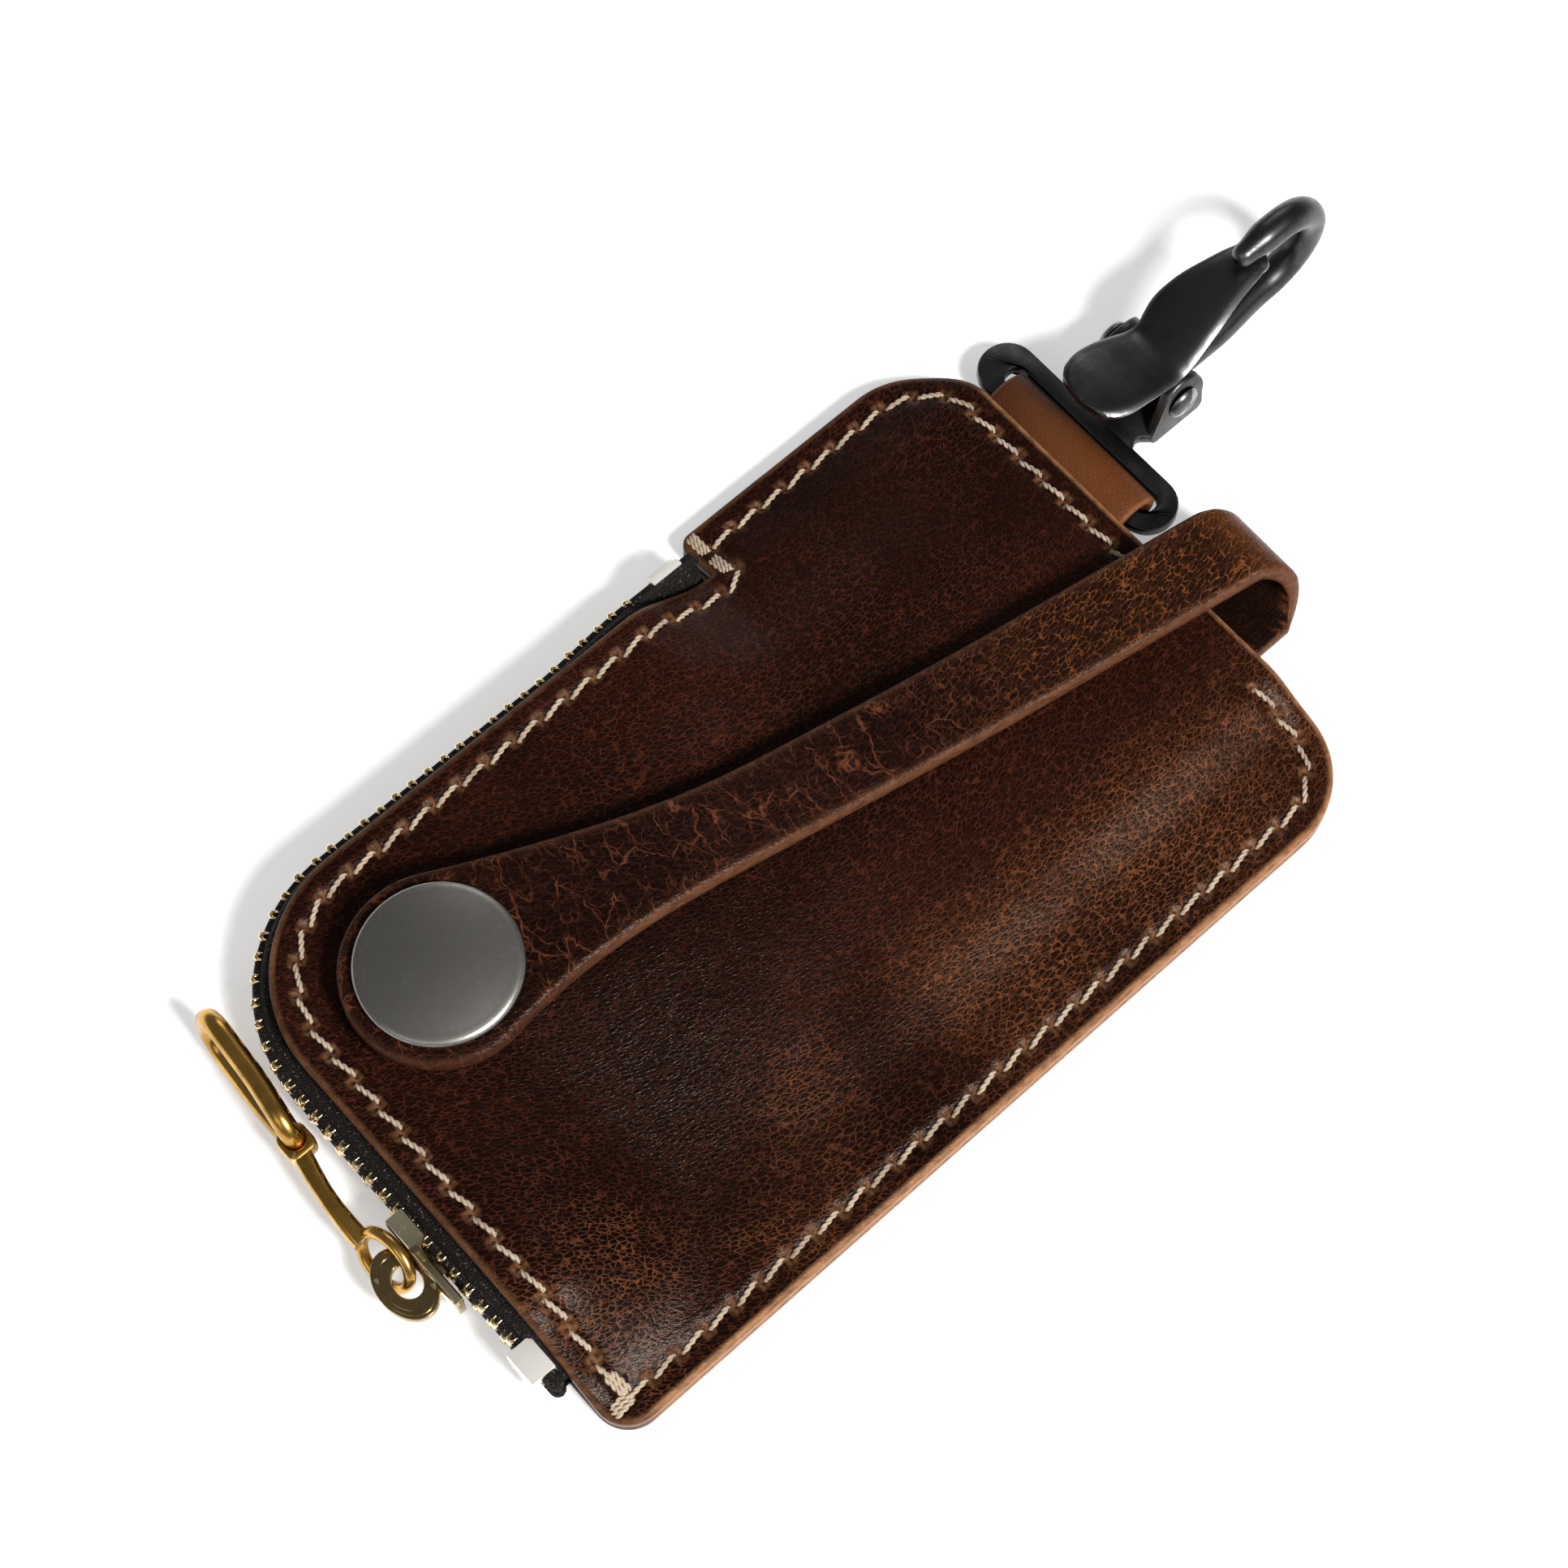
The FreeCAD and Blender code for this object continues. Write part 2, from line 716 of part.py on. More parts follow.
def on_strap(along, across):
    """Point in plan from distances along and across the strap, counted from the snap."""
    return snap_place + strap_along * along + strap_across * across


def eased(start, start_way, end, end_way):
    """Curve between two points that leaves and arrives along the given ways."""
    reach = (end - start).Length / 3
    curve = Part.BezierCurve()
    curve.setPoles([start, start + start_way * reach, end - end_way * reach, end])
    return curve.toShape()


def flap_plan():
    """Outline of the flap in plan: a round head that tapers to the strap's width."""
    radius = size("strap_head_radius")
    half = size("strap_width") / 2
    offset = size("strap_offset")
    taper = size("strap_taper")
    leave = math.radians(72)
    high = on_strap(radius * math.cos(leave), radius * math.sin(leave))
    low = on_strap(radius * math.cos(leave), -radius * math.sin(leave))
    high_way = strap_along * math.sin(leave) - strap_across * math.cos(leave)
    low_way = strap_along * math.sin(leave) + strap_across * math.cos(leave)
    high_join = on_strap(taper, offset + half)
    low_join = on_strap(taper, offset - half)
    high_end = high_join + strap_along * ((loop_x - high_join.x) / strap_along.x)
    low_end = low_join + strap_along * ((loop_x - low_join.x) / strap_along.x)
    edges = [
        Part.Arc(high, on_strap(-radius, 0), low).toShape(),
        eased(low, low_way, low_join, strap_along),
        Part.makeLine(low_join, low_end),
        Part.makeLine(low_end, high_end),
        Part.makeLine(high_end, high_join),
        eased(high, high_way, high_join, strap_along),
    ]
    return Part.Face(Part.Wire(Part.__sortEdges__(edges)))


def flap_low(along):
    """Height of the flap's underside, level at the snap and lower towards the bend."""
    head = size("strap_head_radius")
    return SNAP_LEVEL - (SNAP_LEVEL - FLAP_LOW) * smooth((along - head) / size("strap_drop"))


def flap_sheet():
    """Sheet of strap thickness that follows the flap's height, wider than the flap."""
    head = size("strap_head_radius")
    spacing = size("strap_width") / 2
    reach = (loop_x - snap_place.x) / strap_along.x + head
    count = int((reach + 2 * head) / spacing)
    side = 2 * head
    low_points = []
    for i in range(count + 1):
        along = i * spacing - 2 * head
        low_points.append(on_strap(along, -side) + UP * flap_low(along))
    high_points = [point + UP * STRAP for point in low_points]
    low_line = Part.BSplineCurve()
    low_line.interpolate(low_points)
    high_line = Part.BSplineCurve()
    high_line.interpolate(high_points)
    edges = [
        low_line.toShape(),
        Part.makeLine(low_points[-1], high_points[-1]),
        high_line.toShape(),
        Part.makeLine(high_points[0], low_points[0]),
    ]
    section = Part.Face(Part.Wire(Part.__sortEdges__(edges)))
    return section.extrude(strap_across * 2 * side)


flap_prism = raised("flap_prism", shaped("flap_outline", flap_plan()), "0", "4 * zip_rise")
post_hole = solid(
    "Cylinder", "strap_post_hole", ("snap_x", "snap_y", "0"), Radius="snap_post_radius", Height="4 * zip_rise"
)
flap = common("flap", shaped("flap_sheet", flap_sheet()), flap_prism)
node("strap_front", cut("strap_flap", flap, post_hole))

STRIP_HALF = size("strap_width") / 2 / math.cos(turn)


def bend_section(angle):
    """Section of the bend at an angle from the top, wide along Y and shifted as the strap winds."""
    middle = strap_entry + bend_shift * angle / math.pi
    radii = (size("loop_inner_radius"), size("loop_inner_radius") + STRAP)
    points = []
    for radius, side in ((radii[0], -1), (radii[1], -1), (radii[1], 1), (radii[0], 1)):
        x = loop_x + radius * math.sin(angle)
        z = LOOP_Z + radius * math.cos(angle)
        points.append(Vector(x, middle + side * STRIP_HALF, z))
    return Part.makePolygon(points + points[:1])


bend_steps = 8
bend_sections = [bend_section(math.pi * i / bend_steps) for i in range(bend_steps + 1)]
node("strap_bend", shaped("bend", Part.makeLoft(bend_sections, True, False)))


def tail_plan():
    """Outline of the tail in plan, from the bend through the slot to the key ring."""
    start = strap_entry + bend_shift
    line = [(loop_x, start), (size("tail_bend_place"), start), (size("tail_end_x"), size("tail_end_y"))]
    right = [Vector(x, y - STRIP_HALF) for x, y in line]
    left = [Vector(x, y + STRIP_HALF) for x, y in reversed(line)]
    return Part.Face(Part.makePolygon(right + left + right[:1]))


TONGUE = ("tail_end_y - tongue_width / 2", "tail_end_y + tongue_width / 2")
RING_X = "tail_end_x - tongue_length"
tail_slab = raised("tail_slab", shaped("tail_outline", tail_plan()), "leather + tail_lift", "strap_thickness")
tongue = box(
    "tail_tongue", (RING_X, "tail_end_x + tongue_thickness"), TONGUE,
    ("tongue_height - tongue_thickness / 2", "tongue_height + tongue_thickness / 2"),
)
eye_wall = solid(
    "Cylinder", "ring_eye_wall", (RING_X, TONGUE[0], "tongue_height"), turn=ALONG_Y,
    Radius="ring_eye_radius + ring_eye_wall", Height="tongue_width",
)
eye_hole = solid(
    "Cylinder", "ring_eye_hole", (RING_X, TONGUE[0], "tongue_height"), turn=ALONG_Y,
    Radius="ring_eye_radius", Height="tongue_width",
)
RIVET_X = "tail_end_x - tongue_length / 2"
rivet_hole = solid(
    "Cylinder", "tail_rivet_hole", (RIVET_X, "tail_end_y", "tongue_height - tongue_thickness"),
    Radius="tail_rivet_radius", Height="2 * tongue_thickness",
)
node("strap_tail", cut("tail", fuse("tail_solid", tail_slab, tongue, eye_wall), eye_hole, rivet_hole))

rivet_post = solid(
    "Cylinder", "tail_rivet_post", (RIVET_X, "tail_end_y", "tongue_height - tongue_thickness / 2"),
    Radius="tail_rivet_radius", Height="tongue_thickness",
)
rivet_top = solid(
    "Cylinder", "tail_rivet_top", (RIVET_X, "tail_end_y", "tongue_height + tongue_thickness / 2"),
    Radius="tail_rivet_cap", Height="tail_rivet_height",
)
rivet_low = solid(
    "Cylinder", "tail_rivet_low",
    (RIVET_X, "tail_end_y", "tongue_height - tongue_thickness / 2 - tail_rivet_height"),
    Radius="tail_rivet_cap", Height="tail_rivet_height",
)
node("ring_rivet_cap", rivet_top)
node("ring_rivet_post", fuse("tail_rivet", rivet_post, rivet_low))
key_ring = solid(
    "Torus", "split_ring", (f"{RING_X} - key_ring_radius", "tail_end_y", "tongue_height"),
    Radius1="key_ring_radius", Radius2="key_ring_wire",
)
node("key_ring", key_ring)

# Snap: domed cap and post, socket under the strap, stud on the panel and its rivet inside

cap_disc = solid(
    "Cylinder", "snap_cap_disc", ("snap_x", "snap_y", f"{STRAP_LOW} + strap_thickness"),
    Radius="snap_cap_radius", Height="snap_cap_height",
)
cap_crown = solid(
    "Sphere", "snap_cap_ball",
    ("snap_x", "snap_y", f"{STRAP_LOW} + strap_thickness + snap_cap_height - snap_cap_crown"),
    Radius="snap_cap_crown",
)
cap_post = solid(
    "Cylinder", "snap_cap_post", ("snap_x", "snap_y", STRAP_LOW),
    Radius="snap_post_radius", Height="strap_thickness + snap_cap_height / 2",
)
node("snap_cap", fuse("snap_cap_solid", common("snap_cap_dome", cap_disc, cap_crown), cap_post))

socket_disc = solid(
    "Cylinder", "socket_disc", ("snap_x", "snap_y", SOCKET_LOW),
    Radius="snap_base_radius", Height="snap_socket_height",
)
socket_hollow = solid(
    "Cylinder", "socket_hollow", ("snap_x", "snap_y", f"{PANEL_TOP} + snap_base_height"),
    Radius="snap_wall", Height="snap_head_height + snap_clearance",
)
node("snap_socket", cut("socket", socket_disc, socket_hollow))

stud_base = solid(
    "Cylinder", "stud_base", ("snap_x", "snap_y", PANEL_TOP),
    Radius="snap_base_radius", Height="snap_base_height",
)
stud_head = solid(
    "Cylinder", "stud_head", ("snap_x", "snap_y", PANEL_TOP),
    Radius="snap_head_radius", Height="snap_base_height + snap_head_height",
)
node("snap_stud", fuse("stud", stud_base, stud_head))
STUD_BACK = "(front_low_at_snap - 2 * seam_gap)"
back_disc = solid(
    "Cylinder", "stud_back_disc", ("snap_x", "snap_y", f"{STUD_BACK} - snap_back_height"),
    Radius="snap_base_radius", Height="snap_back_height",
)
back_post = solid(
    "Cylinder", "stud_back_post", ("snap_x", "snap_y", f"{STUD_BACK} - snap_back_height"),
    Radius="snap_rivet_radius", Height=f"{PANEL_TOP} - {STUD_BACK} + snap_back_height",
)
node("snap_rivet", fuse("stud_rivet", back_disc, back_post))

# Hook tab: folded leather with an eye round the hook's bar

BAR_X = "(case_length / 2 + hook_bar_out)"
HOOK_Z = "(leather + seam_gap + tab_layer)"
TAB_LOW = "tab_y - tab_width / 2"
tab_leg = box(
    "tab_leg", ("case_length / 2 - tab_depth", BAR_X), (TAB_LOW, "tab_y + tab_width / 2"),
    (f"{HOOK_Z} - tab_layer", f"{HOOK_Z} + tab_layer"),
)
tab_roll = solid(
    "Cylinder", "tab_roll", (BAR_X, TAB_LOW, HOOK_Z), turn=ALONG_Y,
    Radius="tab_eye_radius + tab_eye_wall", Height="tab_width",
)
tab_eye = solid(
    "Cylinder", "tab_eye", (BAR_X, TAB_LOW, HOOK_Z), turn=ALONG_Y, Radius="tab_eye_radius", Height="tab_width"
)
node("hook_tab", cut("tab", fuse("tab_solid", tab_leg, tab_roll), tab_eye))

# Hook: flat eye plate, neck with two cheeks, and a round arm bowed up and back

PLATE_END = f"({BAR_X} + plate_bar / 2 + plate_slot + plate_rim)"
PLATE_ROUND = "((plate_bar + plate_slot + plate_rim) / 2)"
PLATE_Z = (f"{HOOK_Z} - plate_thickness / 2", f"{HOOK_Z} + plate_thickness / 2")
PIVOT_X = f"({BAR_X} + pivot_out)"
plate_middle = box(
    "plate_middle", (f"{BAR_X} - plate_bar / 2", PLATE_END),
    (f"hook_y - plate_span / 2 + {PLATE_ROUND}", f"hook_y + plate_span / 2 - {PLATE_ROUND}"), PLATE_Z,
)
plate_ends = []
for number, sign in enumerate("-+"):
    plate_ends.append(solid(
        "Cylinder", f"plate_end_{number}",
        (f"{PLATE_END} - {PLATE_ROUND}", f"hook_y {sign} (plate_span / 2 - {PLATE_ROUND})", PLATE_Z[0]),
        Radius=PLATE_ROUND, Height="plate_thickness",
    ))
plate_slot = box(
    "plate_slot", (f"{BAR_X} + plate_bar / 2", f"{BAR_X} + plate_bar / 2 + plate_slot"),
    ("hook_y - plate_slot_span / 2", "hook_y + plate_slot_span / 2"), ("0", f"{HOOK_Z} + plate_thickness"),
)
plate = cut("plate", fuse("plate_solid", plate_middle, *plate_ends), plate_slot)
neck = box(
    "neck", (f"{PLATE_END} - plate_rim / 2", f"{PLATE_END} + neck_length"),
    ("hook_y - neck_width / 2", "hook_y + neck_width / 2"), PLATE_Z,
)
hook_pieces = [plate, neck]
CHEEKS = (
    ("hook_y - neck_width / 2", "hook_y - neck_width / 2 + cheek_thickness"),
    ("hook_y + neck_width / 2 - cheek_thickness", "hook_y + neck_width / 2"),
)
for number, span in enumerate(CHEEKS):
    hook_pieces.append(box(
        f"cheek_{number}", (f"{PIVOT_X} - cheek_radius", f"{PIVOT_X} + cheek_radius"), span,
        (HOOK_Z, "pivot_height"),
    ))
    hook_pieces.append(solid(
        "Cylinder", f"cheek_round_{number}", (PIVOT_X, span[0], "pivot_height"), turn=ALONG_Y,
        Radius="cheek_radius", Height="cheek_thickness",
    ))


def hook_arm():
    """Round arm that leaves the neck, bows up and ends in a rounded tip over the gate."""
    y = size("hook_y")
    z = size("arm_height")
    bow = size("arm_bow")
    bar_x = HALF_LENGTH + size("hook_bar_out")
    start = Vector(bar_x + size("pivot_out") + size("cheek_radius"), y, z)
    low = Vector(bar_x + size("arm_reach"), y, z)
    far = low + Vector(bow, 0, bow)
    high = low + Vector(0, 0, 2 * bow)
    tip = high - Vector(size("arm_tip"), 0, 0)
    path = Part.Wire([
        Part.makeLine(start, low),
        Part.Arc(low, far, high).toShape(),
        Part.makeLine(high, tip),
    ])
    section = Part.Wire(Part.makeCircle(size("arm_wire"), start, Vector(1, 0, 0)))
    arm = path.makePipeShell([section], True, False)
    return arm.fuse(Part.makeSphere(size("arm_wire"), tip)).removeSplitter()


hook_pieces.append(shaped("arm", hook_arm()))
pivot_hole = solid(
    "Cylinder", "pivot_hole", (PIVOT_X, "hook_y - neck_width", "pivot_height"), turn=ALONG_Y,
    Radius="pivot_radius", Height="2 * neck_width",
)
node("hook_body", cut("hook", fuse("hook_solid", *hook_pieces), pivot_hole))

pivot_pieces = [solid(
    "Cylinder", "pivot_pin", (PIVOT_X, "hook_y - neck_width / 2", "pivot_height"), turn=ALONG_Y,
    Radius="pivot_radius", Height="neck_width",
)]
for number, low in enumerate(("hook_y - neck_width / 2 - pivot_head_height", "hook_y + neck_width / 2")):
    pivot_pieces.append(solid(
        "Cylinder", f"pivot_head_{number}", (PIVOT_X, low, "pivot_height"), turn=ALONG_Y,
        Radius="pivot_head_radius", Height="pivot_head_height",
    ))
node("hook_pivot", fuse("pivot", *pivot_pieces))

# Gate: bent lever with a thumb tab, carried on the pivot by two flanges


def lever():
    """Bent lever strip, narrower towards the hook's tip and rounded at the thumb."""
    pivot_x = HALF_LENGTH + size("hook_bar_out") + size("pivot_out")
    y = size("hook_y")
    level = size("pivot_height") + size("gate_lift") - size("gate_thickness") / 2
    back = size("gate_back")
    front = size("gate_front")
    line = [
        Vector(pivot_x - back, y, level + size("gate_thumb_rise")),
        Vector(pivot_x - 0.5 * back, y, level + 0.35 * size("gate_thumb_rise")),
        Vector(pivot_x, y, level),
        Vector(pivot_x + 0.4 * front, y, level + 0.5 * size("gate_rise")),
        Vector(pivot_x + front, y, level + size("gate_rise")),
    ]
    half = size("gate_width") / 2
    shift = Vector(0, -half, 0)
    lift = UP * size("gate_thickness")
    low_line = Part.BSplineCurve()
    low_line.interpolate([point + shift for point in line])
    strip = low_line.toShape().extrude(lift).extrude(Vector(0, 2 * half, 0))
    end_half = size("gate_end_width") / 2
    thumb = pivot_x - back + half
    outline = [
        Part.Arc(
            Vector(thumb, y + half), Vector(thumb - half, y), Vector(thumb, y - half)
        ).toShape(),
        Part.makeLine(Vector(thumb, y - half), Vector(pivot_x + half, y - half)),
        Part.makeLine(Vector(pivot_x + half, y - half), Vector(pivot_x + front, y - end_half)),
        Part.makeLine(Vector(pivot_x + front, y - end_half), Vector(pivot_x + front, y + end_half)),
        Part.makeLine(Vector(pivot_x + front, y + end_half), Vector(pivot_x + half, y + half)),
        Part.makeLine(Vector(pivot_x + half, y + half), Vector(thumb, y + half)),
    ]
    plan = Part.Face(Part.Wire(outline)).extrude(UP * 2 * (level + size("gate_rise")))
    return strip.common(plan)


gate_pieces = [shaped("lever", lever())]
FLANGE_OUT = "(neck_width / 2 - cheek_thickness - gate_play)"
FLANGES = (
    (f"hook_y - {FLANGE_OUT}", f"hook_y - {FLANGE_OUT} + gate_flange"),
    (f"hook_y + {FLANGE_OUT} - gate_flange", f"hook_y + {FLANGE_OUT}"),
)
for number, span in enumerate(FLANGES):
    gate_pieces.append(box(
        f"flange_{number}", (f"{PIVOT_X} - gate_flange_radius", f"{PIVOT_X} + gate_flange_radius"), span,
        ("pivot_height", "pivot_height + gate_lift"),
    ))
    gate_pieces.append(solid(
        "Cylinder", f"flange_round_{number}", (PIVOT_X, span[0], "pivot_height"), turn=ALONG_Y,
        Radius="gate_flange_radius", Height="gate_flange",
    ))
gate_hole = solid(
    "Cylinder", "gate_hole", (PIVOT_X, "hook_y - neck_width", "pivot_height"), turn=ALONG_Y,
    Radius="pivot_radius + pivot_clearance", Height="2 * neck_width",
)
node("hook_gate", cut("gate", fuse("gate_solid", *gate_pieces), gate_hole))


def torsion_spring():
    """Coil round the pivot between the gate's flanges."""
    turns = int(size("spring_turns"))
    radius = size("spring_radius")
    pitch = size("spring_pitch")
    pivot_x = HALF_LENGTH + size("hook_bar_out") + size("pivot_out")
    middle = Vector(pivot_x, size("hook_y"), size("pivot_height"))
    start_y = -turns * pitch / 2

    def on_coil(quarter):
        angle = math.pi / 2 * quarter
        drift = start_y + pitch * quarter / 4
        return middle + Vector(radius * math.cos(angle), drift, radius * math.sin(angle))

    arcs = []
    for quarter in range(4 * turns):
        arcs.append(Part.Arc(on_coil(quarter), on_coil(quarter + 0.5), on_coil(quarter + 1)).toShape())
    path = Part.Wire(arcs)
    way = arcs[0].tangentAt(arcs[0].FirstParameter)
    section = Part.Wire(Part.makeCircle(size("spring_wire"), on_coil(0), way))
    samples = [on_coil(step / 8) for step in range(32 * turns + 1)]
    apart = []
    for first, point in enumerate(samples):
        for other in samples[first + 16:]:
            apart.append((other - point).Length)
    print("least gap between turns", round(min(apart) - 2 * size("spring_wire"), 3))
    return path.makePipeShell([section], True, False)


node("hook_spring", shaped("spring", torsion_spring()))

# Tests and files

doc.recompute()
for made in doc.Objects:
    if "Invalid" in made.State or "Error" in made.State:
        raise RuntimeError(f"{made.Name} failed: {made.State}")
for made in NODES:
    if made.Shape.isNull() or not made.Shape.isValid():
        raise RuntimeError(f"{made.Label} has no valid shape")
os.makedirs("parts", exist_ok=True)
for made in NODES:
    print(made.Label, len(made.Shape.Solids), round(made.Shape.Volume, 2))
    made.Shape.exportStep(f"parts/{made.Label}.step")
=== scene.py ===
import logging
import math
from dataclasses import dataclass, field
from enum import Enum
from typing import Callable, Sequence

import bpy
import bmesh
import numpy as np
from mathutils import Matrix, Vector, geometry, noise


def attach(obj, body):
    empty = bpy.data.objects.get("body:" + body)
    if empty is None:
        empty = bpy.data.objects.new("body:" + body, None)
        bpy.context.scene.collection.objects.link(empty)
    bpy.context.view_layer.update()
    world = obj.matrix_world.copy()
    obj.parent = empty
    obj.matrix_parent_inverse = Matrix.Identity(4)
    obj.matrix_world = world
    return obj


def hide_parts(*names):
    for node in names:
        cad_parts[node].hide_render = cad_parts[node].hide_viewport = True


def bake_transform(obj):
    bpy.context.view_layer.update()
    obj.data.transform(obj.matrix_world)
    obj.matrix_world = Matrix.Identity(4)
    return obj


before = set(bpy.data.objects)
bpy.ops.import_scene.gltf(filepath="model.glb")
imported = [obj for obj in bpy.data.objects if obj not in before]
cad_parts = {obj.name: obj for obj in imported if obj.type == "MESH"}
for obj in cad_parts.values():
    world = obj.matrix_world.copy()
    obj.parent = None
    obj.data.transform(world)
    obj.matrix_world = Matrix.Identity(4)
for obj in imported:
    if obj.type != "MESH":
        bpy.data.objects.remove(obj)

# A leather key case seen from above at an angle: two sewn panels, a corner zip, a snap strap
# and a lever hook. Shapes are worked out in millimetres in the frame's axes and stored in metres.

LOG = logging.getLogger("key_case")
MM = 0.001
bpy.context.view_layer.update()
Point = tuple[float, float, float]
Colour = tuple[float, float, float, float]
Material = bpy.types.Material
Socket = bpy.types.NodeSocket
Sockets = bpy.types.bpy_prop_collection
Value = Socket | float | Sequence[float]
Numbers = np.ndarray | Sequence[float] | float
Rows = np.ndarray | Sequence[Sequence[float]]
Placing = Callable[[np.ndarray, np.ndarray, float], np.ndarray]


class Body(str, Enum):
    """Bodies of the packed part that pieces ride on."""

    CASE = "case"
    SLIDER = "slider"
    PULLER = "puller"
    PULL_RING = "pull_ring"
    STRAP = "strap_flap"
    HOOK = "hook"
    GATE = "gate"


class Slot(str, Enum):
    """Material slots of the packed record."""

    CASE = "case_leather"
    STRAP = "strap_leather"
    TAB = "tab_leather"
    THREAD = "thread"
    TAPE = "zip_tape"
    ZIP = "zip_brass"
    PULLER = "puller_brass"
    SNAP = "snap_silver"
    HOOK = "hook_steel"


def rgb(red: float, green: float, blue: float) -> Colour:
    """Linear colour from that of a screen, 0 to 255.

    Args:
        red: Screen red.
        green: Screen green.
        blue: Screen blue.

    Returns:
        Linear red, green, blue and full alpha.
    """
    shares = [value / 255 for value in (red, green, blue)]
    linear = [v / 12.92 if v <= 0.04045 else ((v + 0.055) / 1.055) ** 2.4 for v in shares]
    return (*linear, 1.0)


def smooth(share: np.ndarray | float) -> np.ndarray:
    """Smooth step from 0 to 1, by the share of the way along it."""
    t = np.clip(share, 0.0, 1.0)
    return t * t * (3 - 2 * t)


def columns(*values: np.ndarray | float) -> np.ndarray:
    """Points from their coordinates, each an array or one number for all of them."""
    return np.stack(np.broadcast_arrays(*values), axis=-1)


# Shader building blocks


class Nodes:
    """Short way to add and join nodes in one tree."""

    def __init__(self, tree: bpy.types.NodeTree) -> None:
        """Keeps the tree."""
        self.tree = tree

    def put(self, socket: Socket, value: Value) -> None:
        """Sets an input to a constant, or joins it to an output.

        Args:
            socket: Input socket.
            value: Constant, or output socket.
        """
        if isinstance(value, Socket):
            self.tree.links.new(value, socket)
        else:
            socket.default_value = value

    def fill(self, node: bpy.types.Node, inputs: dict[str | int, Value]) -> None:
        """Puts constants or output sockets into a node's inputs, by name or number."""
        for place, value in inputs.items():
            self.put(node.inputs[place], value)

    def add(self, kind: str, inputs: dict | None = None, **options) -> bpy.types.Node:
        """Adds a node, sets its options and fills its inputs.

        Args:
            kind: Node type name.
            inputs: Constants or output sockets, by the input's name or number.
            options: Properties of the node.

        Returns:
            The node.
        """
        made = self.tree.nodes.new(kind)
        for name, value in options.items():
            setattr(made, name, value)
        self.fill(made, inputs or {})
        return made

    def math(self, operation: str, first: Value, second: Value = 0.0, clamp: bool = False) -> Socket:
        """One step of arithmetic on constants or sockets."""
        inputs = {0: first, 1: second}
        return self.add("ShaderNodeMath", inputs, operation=operation, use_clamp=clamp).outputs[0]

    def plus(self, first: Value, second: Value) -> Socket:
        """Sum of two constants or sockets."""
        return self.math("ADD", first, second)

    def minus(self, first: Value, second: Value, clamp: bool = False) -> Socket:
        """Difference of two constants or sockets."""
        return self.math("SUBTRACT", first, second, clamp)

    def times(self, first: Value, second: Value, clamp: bool = False) -> Socket:
        """Product of two constants or sockets."""
        return self.math("MULTIPLY", first, second, clamp)

    def vector(self, operation: str, first: Value, second: Value) -> Socket:
        """One step of vector arithmetic, where a scale takes a number."""
        inputs = {0: first, "Scale" if operation == "SCALE" else 1: second}
        return self.add("ShaderNodeVectorMath", inputs, operation=operation).outputs[0]

    def parts(self, vector: Socket) -> list[Socket]:
        """The x, y and z of a vector."""
        return list(self.add("ShaderNodeSeparateXYZ", {0: vector}).outputs)

    def joined(self, x: Value, y: Value, z: Value) -> Socket:
        """Vector of an x, y and z."""
        return self.add("ShaderNodeCombineXYZ", {0: x, 1: y, 2: z}).outputs[0]

    def ramp(self, value: Value, low: float, high: float, start: float = 0.0, end: float = 1.0) -> Socket:
        """Smooth ramp of a value, from start at the low limit to end at the high one."""
        inputs = dict(enumerate((value, low, high, start, end)))
        return self.add("ShaderNodeMapRange", inputs, interpolation_type="SMOOTHSTEP").outputs[0]

    def mix(self, share: Value, first: Value, second: Value) -> Socket:
        """Mixes two colours by the share of the second."""
        return self.add("ShaderNodeMix", {0: share, 6: first, 7: second}, data_type="RGBA").outputs[2]

    def noise(
        self, vector: Socket, scale: float, detail: float = 3.0, roughness: float = 0.55, output: str = "Fac"
    ) -> Socket:
        """Noise by its cells to the metre, its octaves and the strength of the finer ones."""
        inputs = {"Vector": vector, "Scale": scale, "Detail": detail, "Roughness": roughness}
        return self.add("ShaderNodeTexNoise", inputs).outputs[output]

    def cell_edge(self, vector: Socket, scale: Value) -> Socket:
        """Distance to the nearest edge between cells, by the cells to the metre."""
        inputs = {"Vector": vector, "Scale": scale}
        return self.add("ShaderNodeTexVoronoi", inputs, feature="DISTANCE_TO_EDGE").outputs["Distance"]


VALUE = "NodeSocketFloat"
VECTOR = "NodeSocketVector"
HALF = (0.5, 0.5, 0.5)


def new_group(name: str, inputs: dict[str, str], outputs: Sequence[str]) -> tuple[Nodes, Sockets, Sockets]:
    """Empty shader group with its sockets.

    Args:
        name: Name of the group.
        inputs: Socket types by input name.
        outputs: Names of its outputs, which are all values.

    Returns:
        The group's nodes, the sockets that bring its inputs and those that take its outputs.
    """
    tree = bpy.data.node_groups.new(name, "ShaderNodeTree")
    for label, kind in inputs.items():
        tree.interface.new_socket(label, in_out="INPUT", socket_type=kind)
    for label in outputs:
        tree.interface.new_socket(label, in_out="OUTPUT", socket_type=VALUE)
    n = Nodes(tree)
    return n, n.add("NodeGroupInput").outputs, n.add("NodeGroupOutput").inputs


